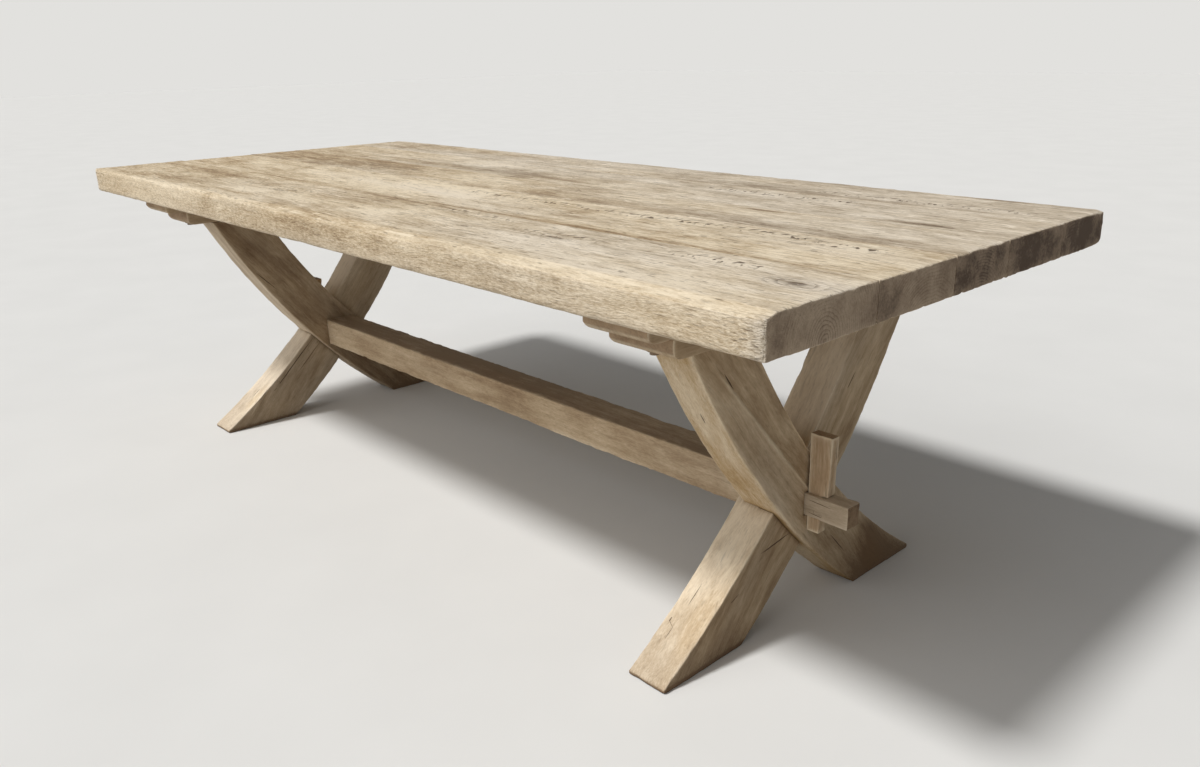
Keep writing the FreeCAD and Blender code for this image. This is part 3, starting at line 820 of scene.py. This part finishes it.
for node, part in PLANKS.items():
    low, high = node_box(node)
    size = high - low
    seed = part["seed"]
    closed = [(1, side) for side, edge in enumerate((part["front"], part["rear"])) if not edge]
    edges = plank_edges(part["front"], part["rear"])
    points, flat, _, quads = worn(size, PLANK_STEP, PLANK_EDGE, edges, seed, PLANK_WOBBLE, PLANK_HOLLOW,
                                  PLANK_CHIPS, closed, rear_wane if part["rear"] else None)
    points[:, 2] -= part["drop"] * soft_step(flat[:, 2], size[2] * 0.5, size[2])
    facet = np.zeros(len(points))
    if part["front"]:
        push = facet_push(points, flat, low, size, seed)
        points[:, 1] += push
        points[:, 2] -= push
        facet = soft_step(push, 0.0, FACET_SEEN)
    piece = solid("worn_" + node, points + low, quads)
    tones = [make(*mark) for kind, make in TONES.items() for mark in part.get(kind, ())]
    marks = {
        "tone": tones + [lambda spots, facet=facet: FACET_LIGHT * facet],
        "bleach": TOP_GREY + [lambda spots, facet=facet: FACET_GREY * facet],
        "fuzz": TOP_FUZZ,
        "knot": [knot(*mark) for mark in part.get("knots", ())],
    }
    look = {"pith": part["pith"], "bleach": part["bleach"], "fuzz": PLANK_FUZZ, "marks": marks,
            "rows": [row(*mark) for mark in part.get("rows", ())]}
    dress(piece, node, "frame", top_oak, seed, PLANK_BASIS, low,
          lambda spots, low=low: spots - low, size, look, closed)


# Battens and rails
BEARER_STEP = (0.010, 0.008, 0.006)
BEARER_EDGE = (0.024, 0.006, 0.006)
BEARER_RADIUS = 0.0025
BEARER_WOBBLE = 0.25
BEARER_HOLLOW = 0.0007
BEARER_CHIPS = 0.002
BEARER_PITH = (0.05, 0.07, 0.03, 0.015)
# Painted shade over the whole of each bearer, and painted light on its nose faces
BEARER_PAINTED_SHADE = -0.5
BEARER_SEED = 70
SEED_STEP = 10
NOSE_RADIUS = 0.022
NOSE_PAINTED_LIGHT = 1.6
NOSE_REACH = 0.008
BEARER_BASIS = np.array([(0.0, 1.0, 0.0), (1.0, 0.0, 0.0), (0.0, 0.0, 1.0)])


def bearer_painted_shade_and_light(reach):
    """Painted shade over a bearer, as under the top, and painted light on the faces of its noses."""
    def shade(spots):
        return BEARER_PAINTED_SHADE + NOSE_PAINTED_LIGHT * soft_step(np.abs(spots[:, 1]), reach - NOSE_REACH, reach)
    return shade


def swapped(spots):
    """Points with their first two coordinates changed over, for pieces that lie across the table."""
    return spots[:, [1, 0, 2]]


for number, (side, kind) in enumerate(itertools.product(("right", "left"), ("batten", "rail"))):
    node = f"{side}_{kind}"
    seed = BEARER_SEED + SEED_STEP * number
    low, high = node_box(node)
    size = swapped((high - low)[None])[0]
    points, _, _, quads = worn(size, BEARER_STEP, BEARER_EDGE, all_edges(BEARER_RADIUS), seed, BEARER_WOBBLE,
                               BEARER_HOLLOW, BEARER_CHIPS)
    short = np.clip(NOSE_RADIUS - np.minimum(points[:, 0], size[0] - points[:, 0]), 0.0, NOSE_RADIUS)
    lift = NOSE_RADIUS - np.sqrt(NOSE_RADIUS ** 2 - short ** 2)
    points[:, 2] = size[2] - (size[2] - points[:, 2]) * (1.0 - lift / size[2])
    piece = solid("worn_" + node, swapped(points) + low, quads)
    # The bearer's tone is painted shade, with painted light on its noses
    look = {"pith": BEARER_PITH, "wear_reach": FINE_WEAR_REACH, "marks": {"tone": [bearer_painted_shade_and_light(high[1])]}}
    dress(piece, node, "frame", frame_oak, seed, BEARER_BASIS, low,
          lambda spots, low=low: swapped(spots - low), size, look)


# The bowed legs
LEG_BOW_RADIUS = 1.980
LEG_WIDTH = 0.134
LEG_HEEL = 0.172
LEG_TOE = 0.390
LEG_SHOULDER = 0.357
LEG_STEP = (0.008, 0.003, 0.006)
LEG_EDGE = (0.010, 0.014, 0.014)
LEG_RADIUS = 0.0034
LEG_CAP_RADIUS = 0.0015
LEG_WOBBLE = 0.45
LEG_HOLLOW = 0.0012
LEG_CHIPS = 0.003
LEG_PITH = (0.02, 0.08, 0.03, 0.02)
LEG_BLEACH = 0.22
LEG_FUZZ = 0.45
LEG_SEED = 130
LAP_ALLOWANCE = 0.0007
LAP_MARGIN = 0.005
CUT_OVERRUN = 0.02
FACE_X = node_box("right_main_leg")[1][0]
LEG_TOP = node_box("right_rail")[0][2]
CHORD = np.array([-(LEG_HEEL + LEG_SHOULDER), LEG_TOP])
CHORD_LENGTH = np.linalg.norm(CHORD)
RISE = math.sqrt(LEG_BOW_RADIUS ** 2 - CHORD_LENGTH ** 2 / 4.0)
BOW_Y = (LEG_HEEL - LEG_SHOULDER) / 2.0 + RISE * LEG_TOP / CHORD_LENGTH
BOW_Z = LEG_TOP / 2.0 + RISE * (LEG_HEEL + LEG_SHOULDER) / CHORD_LENGTH


def bow_limits(radius):
    """The angles at which an arc of the bow meets the floor or the toe's cut, and the rail."""
    floor = np.arcsin(BOW_Z / radius)
    toe = np.arccos((BOW_Y - LEG_TOE) / radius)
    return np.minimum(floor, toe), np.arcsin((BOW_Z - LEG_TOP) / radius)


LEG_MIDDLE = LEG_BOW_RADIUS - LEG_WIDTH / 2.0
LEG_LENGTH = float(np.subtract(*bow_limits(LEG_MIDDLE)) * LEG_MIDDLE)


def bowed(points, hand, low_x):
    """Places block points along a leg: from floor to rail, from its outer arc inward, and along the table."""
    radius = LEG_BOW_RADIUS - points[:, 1]
    start, stop = bow_limits(radius)
    angle = start + (stop - start) * points[:, 0] / LEG_LENGTH
    y = hand * (BOW_Y - radius * np.cos(angle))
    return np.stack([points[:, 2] + low_x, y, BOW_Z - radius * np.sin(angle)], axis=1)


def unbowed(spots, hand, low_x):
    """The block points that bowed() would place at these spots."""
    y = BOW_Y - hand * spots[:, 1]
    z = BOW_Z - spots[:, 2]
    radius = np.clip(np.hypot(y, z), LEG_BOW_RADIUS - LEG_WIDTH, LEG_BOW_RADIUS)
    start, stop = bow_limits(radius)
    along = (np.arctan2(z, y) - start) / (stop - start) * LEG_LENGTH
    return np.stack([along, LEG_BOW_RADIUS - np.hypot(y, z), spots[:, 0] - low_x], axis=1)


def leg_tool(hand, low_x, high_x):
    """A bar that fills a leg's way, a little wider, between two places along the table."""
    low = np.array([-CUT_OVERRUN, -LAP_ALLOWANCE, 0.0])
    size = np.array([LEG_LENGTH + CUT_OVERRUN, LEG_WIDTH + LAP_ALLOWANCE, high_x - low_x]) - low
    flat, quads = block(size, np.full(3, CUTTER_STEP), np.full(3, CUTTER_EDGE))
    return solid("lap_tool", bowed(flat + low, hand, low_x), quads)


RIDGE_HIGH = np.array([-0.252, 0.545])
RIDGE_RUN = np.array([0.256, -0.279])
RIDGE_LENGTH = np.linalg.norm(RIDGE_RUN)
RIDGE_ALONG = RIDGE_RUN / RIDGE_LENGTH
RIDGE_BEHIND = np.array([-RIDGE_ALONG[1], RIDGE_ALONG[0]])
RIDGE_START = (-0.25, 0.02)
RIDGE_STOP = (-1.06, -0.96)
RIDGE_DEPTH = 0.004
RIDGE_WIDTH = 0.002
RIDGE_SKIN = (FACE_X - 0.012, FACE_X - 0.006)
# A painted highlight along the near leg's ridge, and painted shade on the recessed face behind it
RIDGE_PAINTED_HIGHLIGHT = 0.9
RIDGE_HIGHLIGHT_REACH = 0.005
RIDGE_PAINTED_SHADE = -0.45
RIDGE_SHADE_START = 0.004
RIDGE_SHADE_REACH = 0.05
STRETCHER_LOW, STRETCHER_HIGH = node_box("stretcher")
TENON_WIDTH = 0.040
TENON_HEIGHT = 0.047
TENON_AXIS = (STRETCHER_LOW[2] + STRETCHER_HIGH[2]) / 2.0
MORTISE_GAP = 0.0014
LEG_HANDS = {"main": 1.0, "cross": -1.0}
WANE_RADIUS = 0.004
WANE_PLACE = 0.30
WANE_REACH = 0.16
WANE_ACROSS = (0.045, 0.075)
WANE_DEPTH = (-0.06, -0.03)
GRIME_REACH = 0.0045
GRIME_TONE = -1.3
# Darker towards the floor and darkest near the sole
FLOOR_DARK_REACH = 0.085
FLOOR_TONE = -0.9
SOLE_DARK_HEIGHT = 0.013
SOLE_TONE = -1.5
TOE_REACH = 0.03
TOE_FUZZ = 0.9
HONEY_SPOT = (0.125, LEG_WIDTH, 0.070)
HONEY_REACH = (0.016, 0.045, 0.045)
HONEY_BLEACH = -0.55
# Painted shade low on the near main leg's side face
HEEL_SHADE_SPOT = (0.945, 0.250, 0.050)
HEEL_SHADE_REACH = (0.03, 0.13, 0.10)
HEEL_PAINTED_SHADE = -1.7
TOE_SPOT = (0.0, -0.345, 0.060)
TOE_SPOT_REACH = (None, 0.085, 0.085)
TOE_TONE = -0.42
TOE_BLEACH = 0.2
ARC_SKIN = (-0.005, -0.002)
# Marks on the main legs' outer arcs and the cross legs' inner arcs, and marks all over a leg
# The tone on these arcs is painted light where they face the lamps; the bleach and fuzz are the wood's own
# colour and texture
ARC_MARKS_AND_PAINTED_LIGHT = {
    "right_main_leg": {"tone": 0.25, "bleach": -0.72, "fuzz": 0.25},
    "right_cross_leg": {"tone": 0.85, "bleach": 0.1},
    "left_main_leg": {"tone": 0.9, "bleach": 0.1},
    "left_cross_leg": {"tone": 0.85, "bleach": 0.1},
}
# The tone over a whole leg is painted light on the right main and left cross legs and painted shade on the
# left main leg; the bleach is colour
LEG_MARKS_AND_PAINTED_SHADING = {
    "right_main_leg": {"tone": 0.3},
    "right_cross_leg": {},
    "left_main_leg": {"tone": -0.5},
    "left_cross_leg": {"tone": 0.4, "bleach": 0.2},
}
# Splits on the faces towards +X: start and stop across and up, half width
FACE_SPLITS = {
    "right_main_leg": [(-0.262, 0.566, -0.236, 0.533, 0.0016), (0.075, 0.150, 0.130, 0.090, 0.0010)],
    "right_cross_leg": [(-0.125, 0.176, -0.035, 0.187, 0.0014), (-0.215, 0.105, -0.185, 0.118, 0.0009),
                        (0.130, 0.436, 0.160, 0.470, 0.0012)],
    "left_main_leg": [(-0.25, 0.47, -0.19, 0.41, 0.0010)],
    "left_cross_leg": [(-0.245, 0.085, -0.075, 0.245, 0.0013), (-0.285, 0.075, -0.160, 0.195, 0.0010),
                       (-0.150, 0.135, -0.060, 0.220, 0.0009)],
}
# Hairlines on those faces, from splits set so deep that only a trace comes through
HAIRLINES = {
    "left_main_leg": [(-0.20, 0.40, -0.12, 0.33, 0.0012)],
    "left_cross_leg": [(0.15, 0.44, 0.21, 0.51, 0.0012)],
}
# Splits on the arcs: place along the leg, depth from the outer arc, place across, length, half width
ARC_SPLITS = {
    "right_main_leg": [(LEG_LENGTH - 0.20, 0.0, 0.045, 0.035, 0.0012)],
    "right_cross_leg": [(0.155, LEG_WIDTH, 0.030, 0.045, 0.0007), (0.105, LEG_WIDTH, 0.014, 0.022, 0.0010),
                        (0.080, LEG_WIDTH, 0.028, 0.035, 0.0004)],
    "left_main_leg": [],
    "left_cross_leg": [(0.12, LEG_WIDTH, 0.050, 0.04, 0.0010)],
}


def ridge(spots):
    """How far spots lie behind the ridge on the near leg, and how much of it there is along its length."""
    away = spots[:, 1:] - RIDGE_HIGH
    along = away @ RIDGE_ALONG / RIDGE_LENGTH
    return away @ RIDGE_BEHIND, soft_step(along, *RIDGE_START) * soft_step(-along, *RIDGE_STOP)


def ridge_painted_highlight(spots):
    """A painted highlight along the ridge."""
    behind, share = ridge(spots)
    line = np.exp(-((behind + RIDGE_WIDTH) / RIDGE_HIGHLIGHT_REACH) ** 2)
    return RIDGE_PAINTED_HIGHLIGHT * line * share * soft_step(spots[:, 0], *RIDGE_SKIN)


def ridge_painted_shade(spots):
    """Painted shade on the face behind the ridge."""
    behind, share = ridge(spots)
    face = soft_step(behind, 0.0, RIDGE_SHADE_START) * np.exp(-behind / RIDGE_SHADE_REACH)
    return RIDGE_PAINTED_SHADE * face * share * soft_step(spots[:, 0], *RIDGE_SKIN)


def near_wane(flat):
    """A broader worn edge where the near leg passes the other one."""
    share = np.exp(-((flat[:, 0] - WANE_PLACE) / WANE_REACH) ** 2)
    outer = soft_step(flat[:, 2], *WANE_ACROSS) * soft_step(-flat[:, 1], *WANE_DEPTH)
    return WANE_RADIUS * share * outer


def bow_depth(spots, hand):
    """How far spots lie inside a leg's outer arc."""
    return LEG_BOW_RADIUS - np.hypot(BOW_Y - hand * spots[:, 1], BOW_Z - spots[:, 2])


def lap_grime_and_low_darkening(hand, low_x, high_x):
    """Dirt on a leg along the lines where the other leg meets it and along the tenon, and a darkening towards
    the floor that is strongest at the sole.
    """
    def shade(spots):
        depth = bow_depth(spots, hand)
        outside = np.clip(np.maximum(-depth, depth - LEG_WIDTH), 0.0, None)
        aside = np.clip(np.maximum(low_x - spots[:, 0], spots[:, 0] - high_x), 0.0, None)
        lap = np.exp(-(outside + aside) / GRIME_REACH)
        tenon = np.hypot(np.clip(np.abs(spots[:, 1]) - TENON_WIDTH / 2.0, 0.0, None),
                         np.clip(np.abs(spots[:, 2] - TENON_AXIS) - TENON_HEIGHT / 2.0, 0.0, None))
        dirt = np.maximum(lap, np.exp(-tenon / GRIME_REACH))
        sole = soft_step(-spots[:, 2], -SOLE_DARK_HEIGHT, -0.3 * SOLE_DARK_HEIGHT)
        return GRIME_TONE * dirt + FLOOR_TONE * np.exp(-spots[:, 2] / FLOOR_DARK_REACH) + SOLE_TONE * sole
    return shade


def arc_strip(hand, amount, inner):
    """A mark over a leg's inner or outer arc."""
    def shade(spots):
        depth = bow_depth(spots, hand)
        return amount * soft_step(depth - LEG_WIDTH if inner else -depth, *ARC_SKIN)
    return shade


def toe_fuzz(spots):
    """Rough fibres close to the floor."""
    return TOE_FUZZ * np.exp(-spots[:, 2] / TOE_REACH)


def face_split(x, run):
    """A split at x along a leg's side face, from its start and stop across and up and its half width."""
    return split((x, *run[:2]), (x, *run[2:4]), ALONG, run[4])


def arc_split(hand, low_x, along, depth, across, length, width):
    """A split along the grain on a leg's outer or inner arc."""
    ends = np.array([(along, depth, across), (along + length, depth, across)])
    start, stop = bowed(ends, hand, low_x)
    inward = np.array([0.0, hand * BOW_Y - start[1], BOW_Z - start[2]])
    inward = inward / np.linalg.norm(inward)
    return split(start, stop, inward if depth > LEG_WIDTH / 2.0 else -inward, width)


for number, (side, kind) in enumerate(itertools.product(("right", "left"), ("main", "cross"))):
    node = f"{side}_{kind}_leg"
    hand = LEG_HANDS[kind]
    seed = LEG_SEED + SEED_STEP * number
    low, high = node_box(node)
    size = np.array([LEG_LENGTH, LEG_WIDTH, high[0] - low[0]])
    nearest = node == "right_main_leg"
    points, _, out, quads = worn(size, LEG_STEP, LEG_EDGE, all_edges(LEG_RADIUS, LEG_CAP_RADIUS), seed,
                                 LEG_WOBBLE, LEG_HOLLOW, LEG_CHIPS, wane=near_wane if nearest else None)
    spots = bowed(points, hand, low[0])
    main_box = node_box(f"{side}_main_leg")
    cross_box = node_box(f"{side}_cross_leg")
    other = cross_box if kind == "main" else main_box
    # Dirt along the lap and the tenon, and a darkening towards the floor
    grime_and_low_darkening = lap_grime_and_low_darkening(-hand, other[0][0], other[1][0])
    marks = {"tone": [grime_and_low_darkening], "wear": [], "bleach": [], "fuzz": [toe_fuzz]}
    # On the arcs the tone is painted light; the bleach and fuzz are colour and texture
    for name, amount in ARC_MARKS_AND_PAINTED_LIGHT[node].items():
        marks[name].append(arc_strip(hand, amount, kind == "cross"))
    # Over the whole leg the tone is painted light on some legs and painted shade on the left main leg
    for name, amount in LEG_MARKS_AND_PAINTED_SHADING[node].items():
        marks[name].append(level(amount))
    if kind == "cross":
        honey_spot = bowed(np.array([HONEY_SPOT]), hand, low[0])[0]
        marks["bleach"].append(patch(honey_spot, HONEY_REACH, HONEY_BLEACH))
    if node == "right_cross_leg":
        marks["tone"].append(patch(TOE_SPOT, TOE_SPOT_REACH, TOE_TONE))
        marks["bleach"].append(patch(TOE_SPOT, TOE_SPOT_REACH, TOE_BLEACH))
    if nearest:
        behind, share = ridge(spots)
        step = soft_step(behind, -RIDGE_WIDTH / 2.0, RIDGE_WIDTH / 2.0) * share
        spots[:, 0] -= RIDGE_DEPTH * step * np.clip(out[:, 2], 0.0, 1.0)
        # Painted shade low on the leg and on the recessed face behind the ridge
        marks["tone"] += [patch(HEEL_SHADE_SPOT, HEEL_SHADE_REACH, HEEL_PAINTED_SHADE), ridge_painted_shade]
        # The ridge's painted highlight is carried in the wear layer
        marks["wear"].append(ridge_painted_highlight)
    piece = solid("worn_" + node, spots, quads)
    lap_x = (main_box[0][0] + cross_box[1][0]) / 2.0
    lap = (low[0] - LAP_MARGIN, lap_x) if kind == "main" else (lap_x, high[0] + LAP_MARGIN)
    carve(piece, leg_tool(-hand, *lap), "DIFFERENCE")
    half = np.array([TENON_WIDTH / 2.0, TENON_HEIGHT / 2.0]) + MORTISE_GAP
    tool = plain_block("mortise_tool", (low[0] - CUT_OVERRUN, -half[0], TENON_AXIS - half[1]),
                       (high[0] + CUT_OVERRUN, half[0], TENON_AXIS + half[1]))
    carve(piece, tool, "DIFFERENCE")
    way = np.array([0.0, hand * CHORD[0], CHORD[1]]) / CHORD_LENGTH
    basis = np.array([way, (0.0, way[2], -way[1]), (1.0, 0.0, 0.0)])
    origin = np.array([low[0], hand * LEG_HEEL, 0.0])
    splits = [face_split(high[0], run) for run in FACE_SPLITS[node]]
    splits += [face_split(low[0], run) for run in HAIRLINES.get(node, ())]
    splits += [arc_split(hand, low[0], *run) for run in ARC_SPLITS[node]]
    look = {"pith": LEG_PITH, "bleach": LEG_BLEACH, "fuzz": LEG_FUZZ, "wear_reach": FINE_WEAR_REACH,
            "marks": marks, "splits": splits}
    dress(piece, node, "frame", frame_oak, seed, basis, origin,
          lambda spots, hand=hand, low=low: unbowed(spots, hand, low[0]), size, look)


# The stretcher
BEAM_STEP = (0.010, 0.005, 0.005)
BEAM_EDGE = (0.008, 0.012, 0.012)
BEAM_RADIUS = 0.0055
BEAM_WOBBLE = 0.6
BEAM_HOLLOW = 0.0022
BEAM_CHIPS = 0.006
BEAM_SEED = 211
BEAM_PITH = (0.03, 0.05, 0.03, 0.02)
BEAM_FUZZ = 0.66
TENON_EDGE = (0.008, 0.006, 0.006)
TENON_RADIUS = 0.0022
TENON_WOBBLE = 0.4
TENON_HOLLOW = 0.0006
TENON_CHIPS = 0.004
TENON_SEED = 221
TENON_ROOT = 0.02
TENON_GREY = 0.35
TENON_GREY_START = 0.004
TENON_SPLITS = ((0.004, 0.062, 0.013, 0.0006), (0.008, 0.045, -0.013, 0.0006))
TENON_SPLIT_FALL = 0.003
# Dust and painted shade on the beam's upper face, which is made darker and greyer
DUST_AND_SHADE_TONE = -1.3
DUST_AND_SHADE_GREY = 0.5
SHOULDER_X = node_box("right_cross_leg")[0][0]
DUST_AND_SHADE_SKIN = (STRETCHER_HIGH[2] - 0.006, STRETCHER_HIGH[2] - 0.002)
KEY_DRAW = 0.004
KEY_SHANK = 0.031
KEY_GAP = 0.0006

half_beam = np.array([SHOULDER_X, STRETCHER_HIGH[1], (STRETCHER_HIGH[2] - STRETCHER_LOW[2]) / 2.0])
middle = np.array([0.0, 0.0, TENON_AXIS])
points, _, _, quads = worn(2.0 * half_beam, BEAM_STEP, BEAM_EDGE, all_edges(BEAM_RADIUS, LEG_CAP_RADIUS),
                           BEAM_SEED, BEAM_WOBBLE, BEAM_HOLLOW, BEAM_CHIPS)
beam = solid("worn_stretcher", points + middle - half_beam, quads)
key_half = (node_box("right_key")[1][1] - node_box("right_key")[0][1]) / 2.0 + KEY_GAP
for sign in (1.0, -1.0):
    size = np.array([STRETCHER_HIGH[0] - SHOULDER_X + TENON_ROOT, TENON_WIDTH, TENON_HEIGHT])
    points, _, _, quads = worn(size, BEAM_STEP, TENON_EDGE, all_edges(TENON_RADIUS), TENON_SEED + int(sign),
                               TENON_WOBBLE, TENON_HOLLOW, TENON_CHIPS)
    spots = points + np.array([SHOULDER_X - TENON_ROOT, -TENON_WIDTH / 2.0, TENON_AXIS - TENON_HEIGHT / 2.0])
    spots[:, 0] *= sign
    carve(beam, solid("tenon", spots, quads), "UNION")
    near, far = sorted((sign * (FACE_X - KEY_DRAW), sign * (FACE_X + KEY_SHANK + KEY_GAP)))
    tool = plain_block("slot_tool", (near, -key_half, TENON_AXIS - TENON_HEIGHT),
                       (far, key_half, TENON_AXIS + TENON_HEIGHT))
    carve(beam, tool, "DIFFERENCE")


def beam_local(spots):
    """Block points of the beam, or of the tenon where a spot lies beyond the shoulders."""
    flat = spots - middle + half_beam
    beyond = np.abs(spots[:, 0]) > SHOULDER_X
    half = np.array([STRETCHER_HIGH[0], TENON_WIDTH / 2.0, TENON_HEIGHT / 2.0])
    inner = (spots - middle) / half
    flat[beyond] = (half_beam + inner * half_beam)[beyond]
    return flat


def dust_and_painted_shade(amount):
    """Dust and painted shade over the beam's upper face."""
    def shade(spots):
        return amount * soft_step(spots[:, 2], *DUST_AND_SHADE_SKIN) * (np.abs(spots[:, 0]) < SHOULDER_X)
    return shade


def tenon_grey(spots):
    """A greyer look on the ends of the tenons that stand out of the legs."""
    return TENON_GREY * soft_step(np.abs(spots[:, 0]), FACE_X - TENON_GREY_START, FACE_X)


def tenon_split(sign, near, far, height, width):
    """A split on a tenon's front face, from one distance beyond the legs to another."""
    face = -TENON_WIDTH / 2.0
    start = TENON_AXIS + height
    stop = start - TENON_SPLIT_FALL
    return split((sign * (FACE_X + near), face, start), (sign * (FACE_X + far), face, stop),
                 (0.0, -1.0, 0.0), width)


look = {
    "pith": BEAM_PITH, "wear_reach": FINE_WEAR_REACH, "fuzz": BEAM_FUZZ,
    "splits": [tenon_split(sign, *run) for sign in (1.0, -1.0) for run in TENON_SPLITS],
    # The darker, greyer upper face is partly dust and partly painted shade
    "marks": {"tone": [dust_and_painted_shade(DUST_AND_SHADE_TONE)], "bleach": [dust_and_painted_shade(DUST_AND_SHADE_GREY), tenon_grey]},
}
dress(beam, "stretcher", "frame", frame_oak, BEAM_SEED, PLANK_BASIS, STRETCHER_LOW, beam_local,
      2.0 * half_beam, look)


# The keys
KEY_VOXEL = 0.0016
KEY_SMOOTH = 0.5
KEY_SMOOTH_ROUNDS = 4
KEY_WEAR_REACH = 0.0030
KEY_SEED = 241
KEY_HOLLOW = 0.0004
KEY_HOLLOW_SIZE = (0.02, 0.02, 0.06)
KEY_CHIPS = 0.004
KEY_CHIP_SIZE = (0.012, 0.012, 0.025)
KEY_PITH = (0.01, 0.05, 0.02, 0.01)
KEY_BLEACH = -0.12
KEY_BASIS = np.array([(0.0, 0.0, 1.0), (1.0, 0.0, 0.0), (0.0, 1.0, 0.0)])
for number, side in enumerate(("right", "left")):
    node = f"{side}_key"
    seed = KEY_SEED + number
    low, high = node_box(node)
    piece = bpy.data.objects.new("worn_" + node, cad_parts[node].data.copy())
    scene.collection.objects.link(piece)
    remesh = piece.modifiers.new("remesh", "REMESH")
    remesh.mode = "VOXEL"
    remesh.voxel_size = KEY_VOXEL
    smooth = piece.modifiers.new("smooth", "SMOOTH")
    smooth.factor = KEY_SMOOTH
    smooth.iterations = KEY_SMOOTH_ROUNDS
    settled_mesh(piece)
    spots = spots_of(piece.data)
    depth = KEY_HOLLOW + KEY_HOLLOW * noise(spots, KEY_HOLLOW_SIZE, seed)
    rim = np.exp(-edge_distance(np.clip(spots - low, 0.0, high - low), high - low) / CHIP_REACH)
    depth += KEY_CHIPS * rim * np.clip(noise(spots, KEY_CHIP_SIZE, seed + SEED_STEP) - CHIP_FLOOR, 0.0, None)
    spots -= normals_of(piece.data) * depth[:, None]
    piece.data.vertices.foreach_set("co", spots.astype(np.float32).ravel())
    piece.data.update()
    dress(piece, node, node, key_oak, seed, KEY_BASIS, low, lambda spots, low=low: spots - low,
          high - low, {"pith": KEY_PITH, "wear_reach": KEY_WEAR_REACH, "bleach": KEY_BLEACH})


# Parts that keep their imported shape
RUST = [(0.3, paint(96, 80, 64)), (0.55, paint(126, 106, 85)), (0.8, paint(150, 130, 107))]
RUST_METALLIC = 0.3
RUST_BUMP = 0.0002


def steel(name):
    """Old steel under a thin brown rust, with fine scratches."""
    s = Shader(bpy.data.materials.new(name))
    spot = s.place()
    cloud = s.noise(spot, (90.0, 90.0, 90.0), 3.0, 0.6)
    scratch = s.noise(spot, (2600.0, 500.0, 500.0), 2.0)
    s.feed(s.surface.inputs["Base Color"], s.ramp(s.total((cloud, 0.7), (scratch, 0.4)), RUST))
    s.feed(s.surface.inputs["Metallic"], RUST_METALLIC)
    s.feed(s.surface.inputs["Roughness"], s.total((cloud, 0.35), (scratch, 0.12), (1.0, 0.35)))
    bump = s.add("ShaderNodeBump", {}, {"Strength": 0.25, "Distance": RUST_BUMP, "Height": scratch})
    s.feed(s.surface.inputs["Normal"], bump.outputs[0])
    return s.owner


plug_oak = oak("plug_oak", FRAME_COLOURS, FRAME_LOOK, packed=True)
rusted = steel("rusted_steel")
PACKED = {"screws": rusted, "bolts": rusted, "washers": rusted, "tongue": plug_oak, "pegs": plug_oak}
for node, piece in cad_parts.items():
    for word, material in PACKED.items():
        if word in node:
            piece.data.materials.clear()
            piece.data.materials.append(material)


# Floor, light and camera
FLOOR_REACH = 30.0
FLOOR_SEEN = paint(226, 225, 222)
FLOOR_SEEN_DARK = paint(223, 222, 219)
FLOOR_BOUNCE = (0.46, 0.44, 0.41, 1.0)
FLOOR_ROUGHNESS = 0.9
FLOOR_SHINE = 0.1
BACKDROP = paint(226, 225, 222)
FILL = 0.16

floor_mesh = bpy.data.meshes.new("floor")
corners = [(x * FLOOR_REACH, y * FLOOR_REACH, 0.0) for x, y in ((-1, -1), (1, -1), (1, 1), (-1, 1))]
floor_mesh.from_pydata(corners, [], [(0, 1, 2, 3)])
floor = bpy.data.objects.new("floor", floor_mesh)
scene.collection.objects.link(floor)
paper = Shader(bpy.data.materials.new("pale_floor"))
grains = paper.noise(paper.place(), (3.0, 3.0, 3.0), 3.0)
shade = paper.ramp(grains, [(0.3, FLOOR_SEEN_DARK), (0.7, FLOOR_SEEN)])
paper.feed(paper.surface.inputs["Base Color"], paper.mix(paper.direct(), FLOOR_BOUNCE, shade))
paper.feed(paper.surface.inputs["Roughness"], FLOOR_ROUGHNESS)
paper.feed(paper.surface.inputs["Specular IOR Level"], FLOOR_SHINE)
floor_mesh.materials.append(paper.owner)

scene.world = bpy.data.worlds.new("studio")
sky = Shader(scene.world)
fill = sky.tree.nodes["Background"]
fill.inputs["Color"].default_value = (FILL, FILL, FILL, 1.0)
seen = sky.add("ShaderNodeBackground", {}, {"Color": BACKDROP})
blend = sky.add("ShaderNodeMixShader", {}, {0: sky.direct(), 1: fill.outputs[0], 2: seen.outputs[0]})
sky.feed(sky.tree.nodes["World Output"].inputs["Surface"], blend.outputs[0])


def lamp(name, towards, spread, strength):
    """A distant soft lamp; strength is the brightness it gives to a white face turned to it."""
    data = bpy.data.lights.new(name, "SUN")
    data.angle = math.radians(spread)
    data.energy = strength * math.pi
    item = bpy.data.objects.new(name, data)
    item.rotation_euler = Vector(towards).to_track_quat("Z", "Y").to_euler()
    scene.collection.objects.link(item)


lamp("key_lamp", (-0.50, -1.0, 1.73), 9.0, 0.80)
lamp("front_lamp", (-0.30, -1.0, 0.45), 80.0, 0.42)

CAMERA_PLACE = (1.93098, -1.46537, 1.08373)
CAMERA_AZIMUTH = math.radians(46.99)
CAMERA_DIP = math.radians(18.90)
CAMERA_ROLL = math.radians(-1.16)
CAMERA_LENS = 29.737
SENSOR_WIDTH = 36.0

camera_data = bpy.data.cameras.new("camera")
camera_data.lens = CAMERA_LENS
camera_data.sensor_width = SENSOR_WIDTH
camera = bpy.data.objects.new("camera", camera_data)
turn = Matrix.Rotation(CAMERA_AZIMUTH, 4, "Z") @ Matrix.Rotation(math.pi / 2.0 - CAMERA_DIP, 4, "X")
camera.matrix_world = Matrix.Translation(CAMERA_PLACE) @ turn @ Matrix.Rotation(CAMERA_ROLL, 4, "Z")
scene.collection.objects.link(camera)
scene.camera = camera
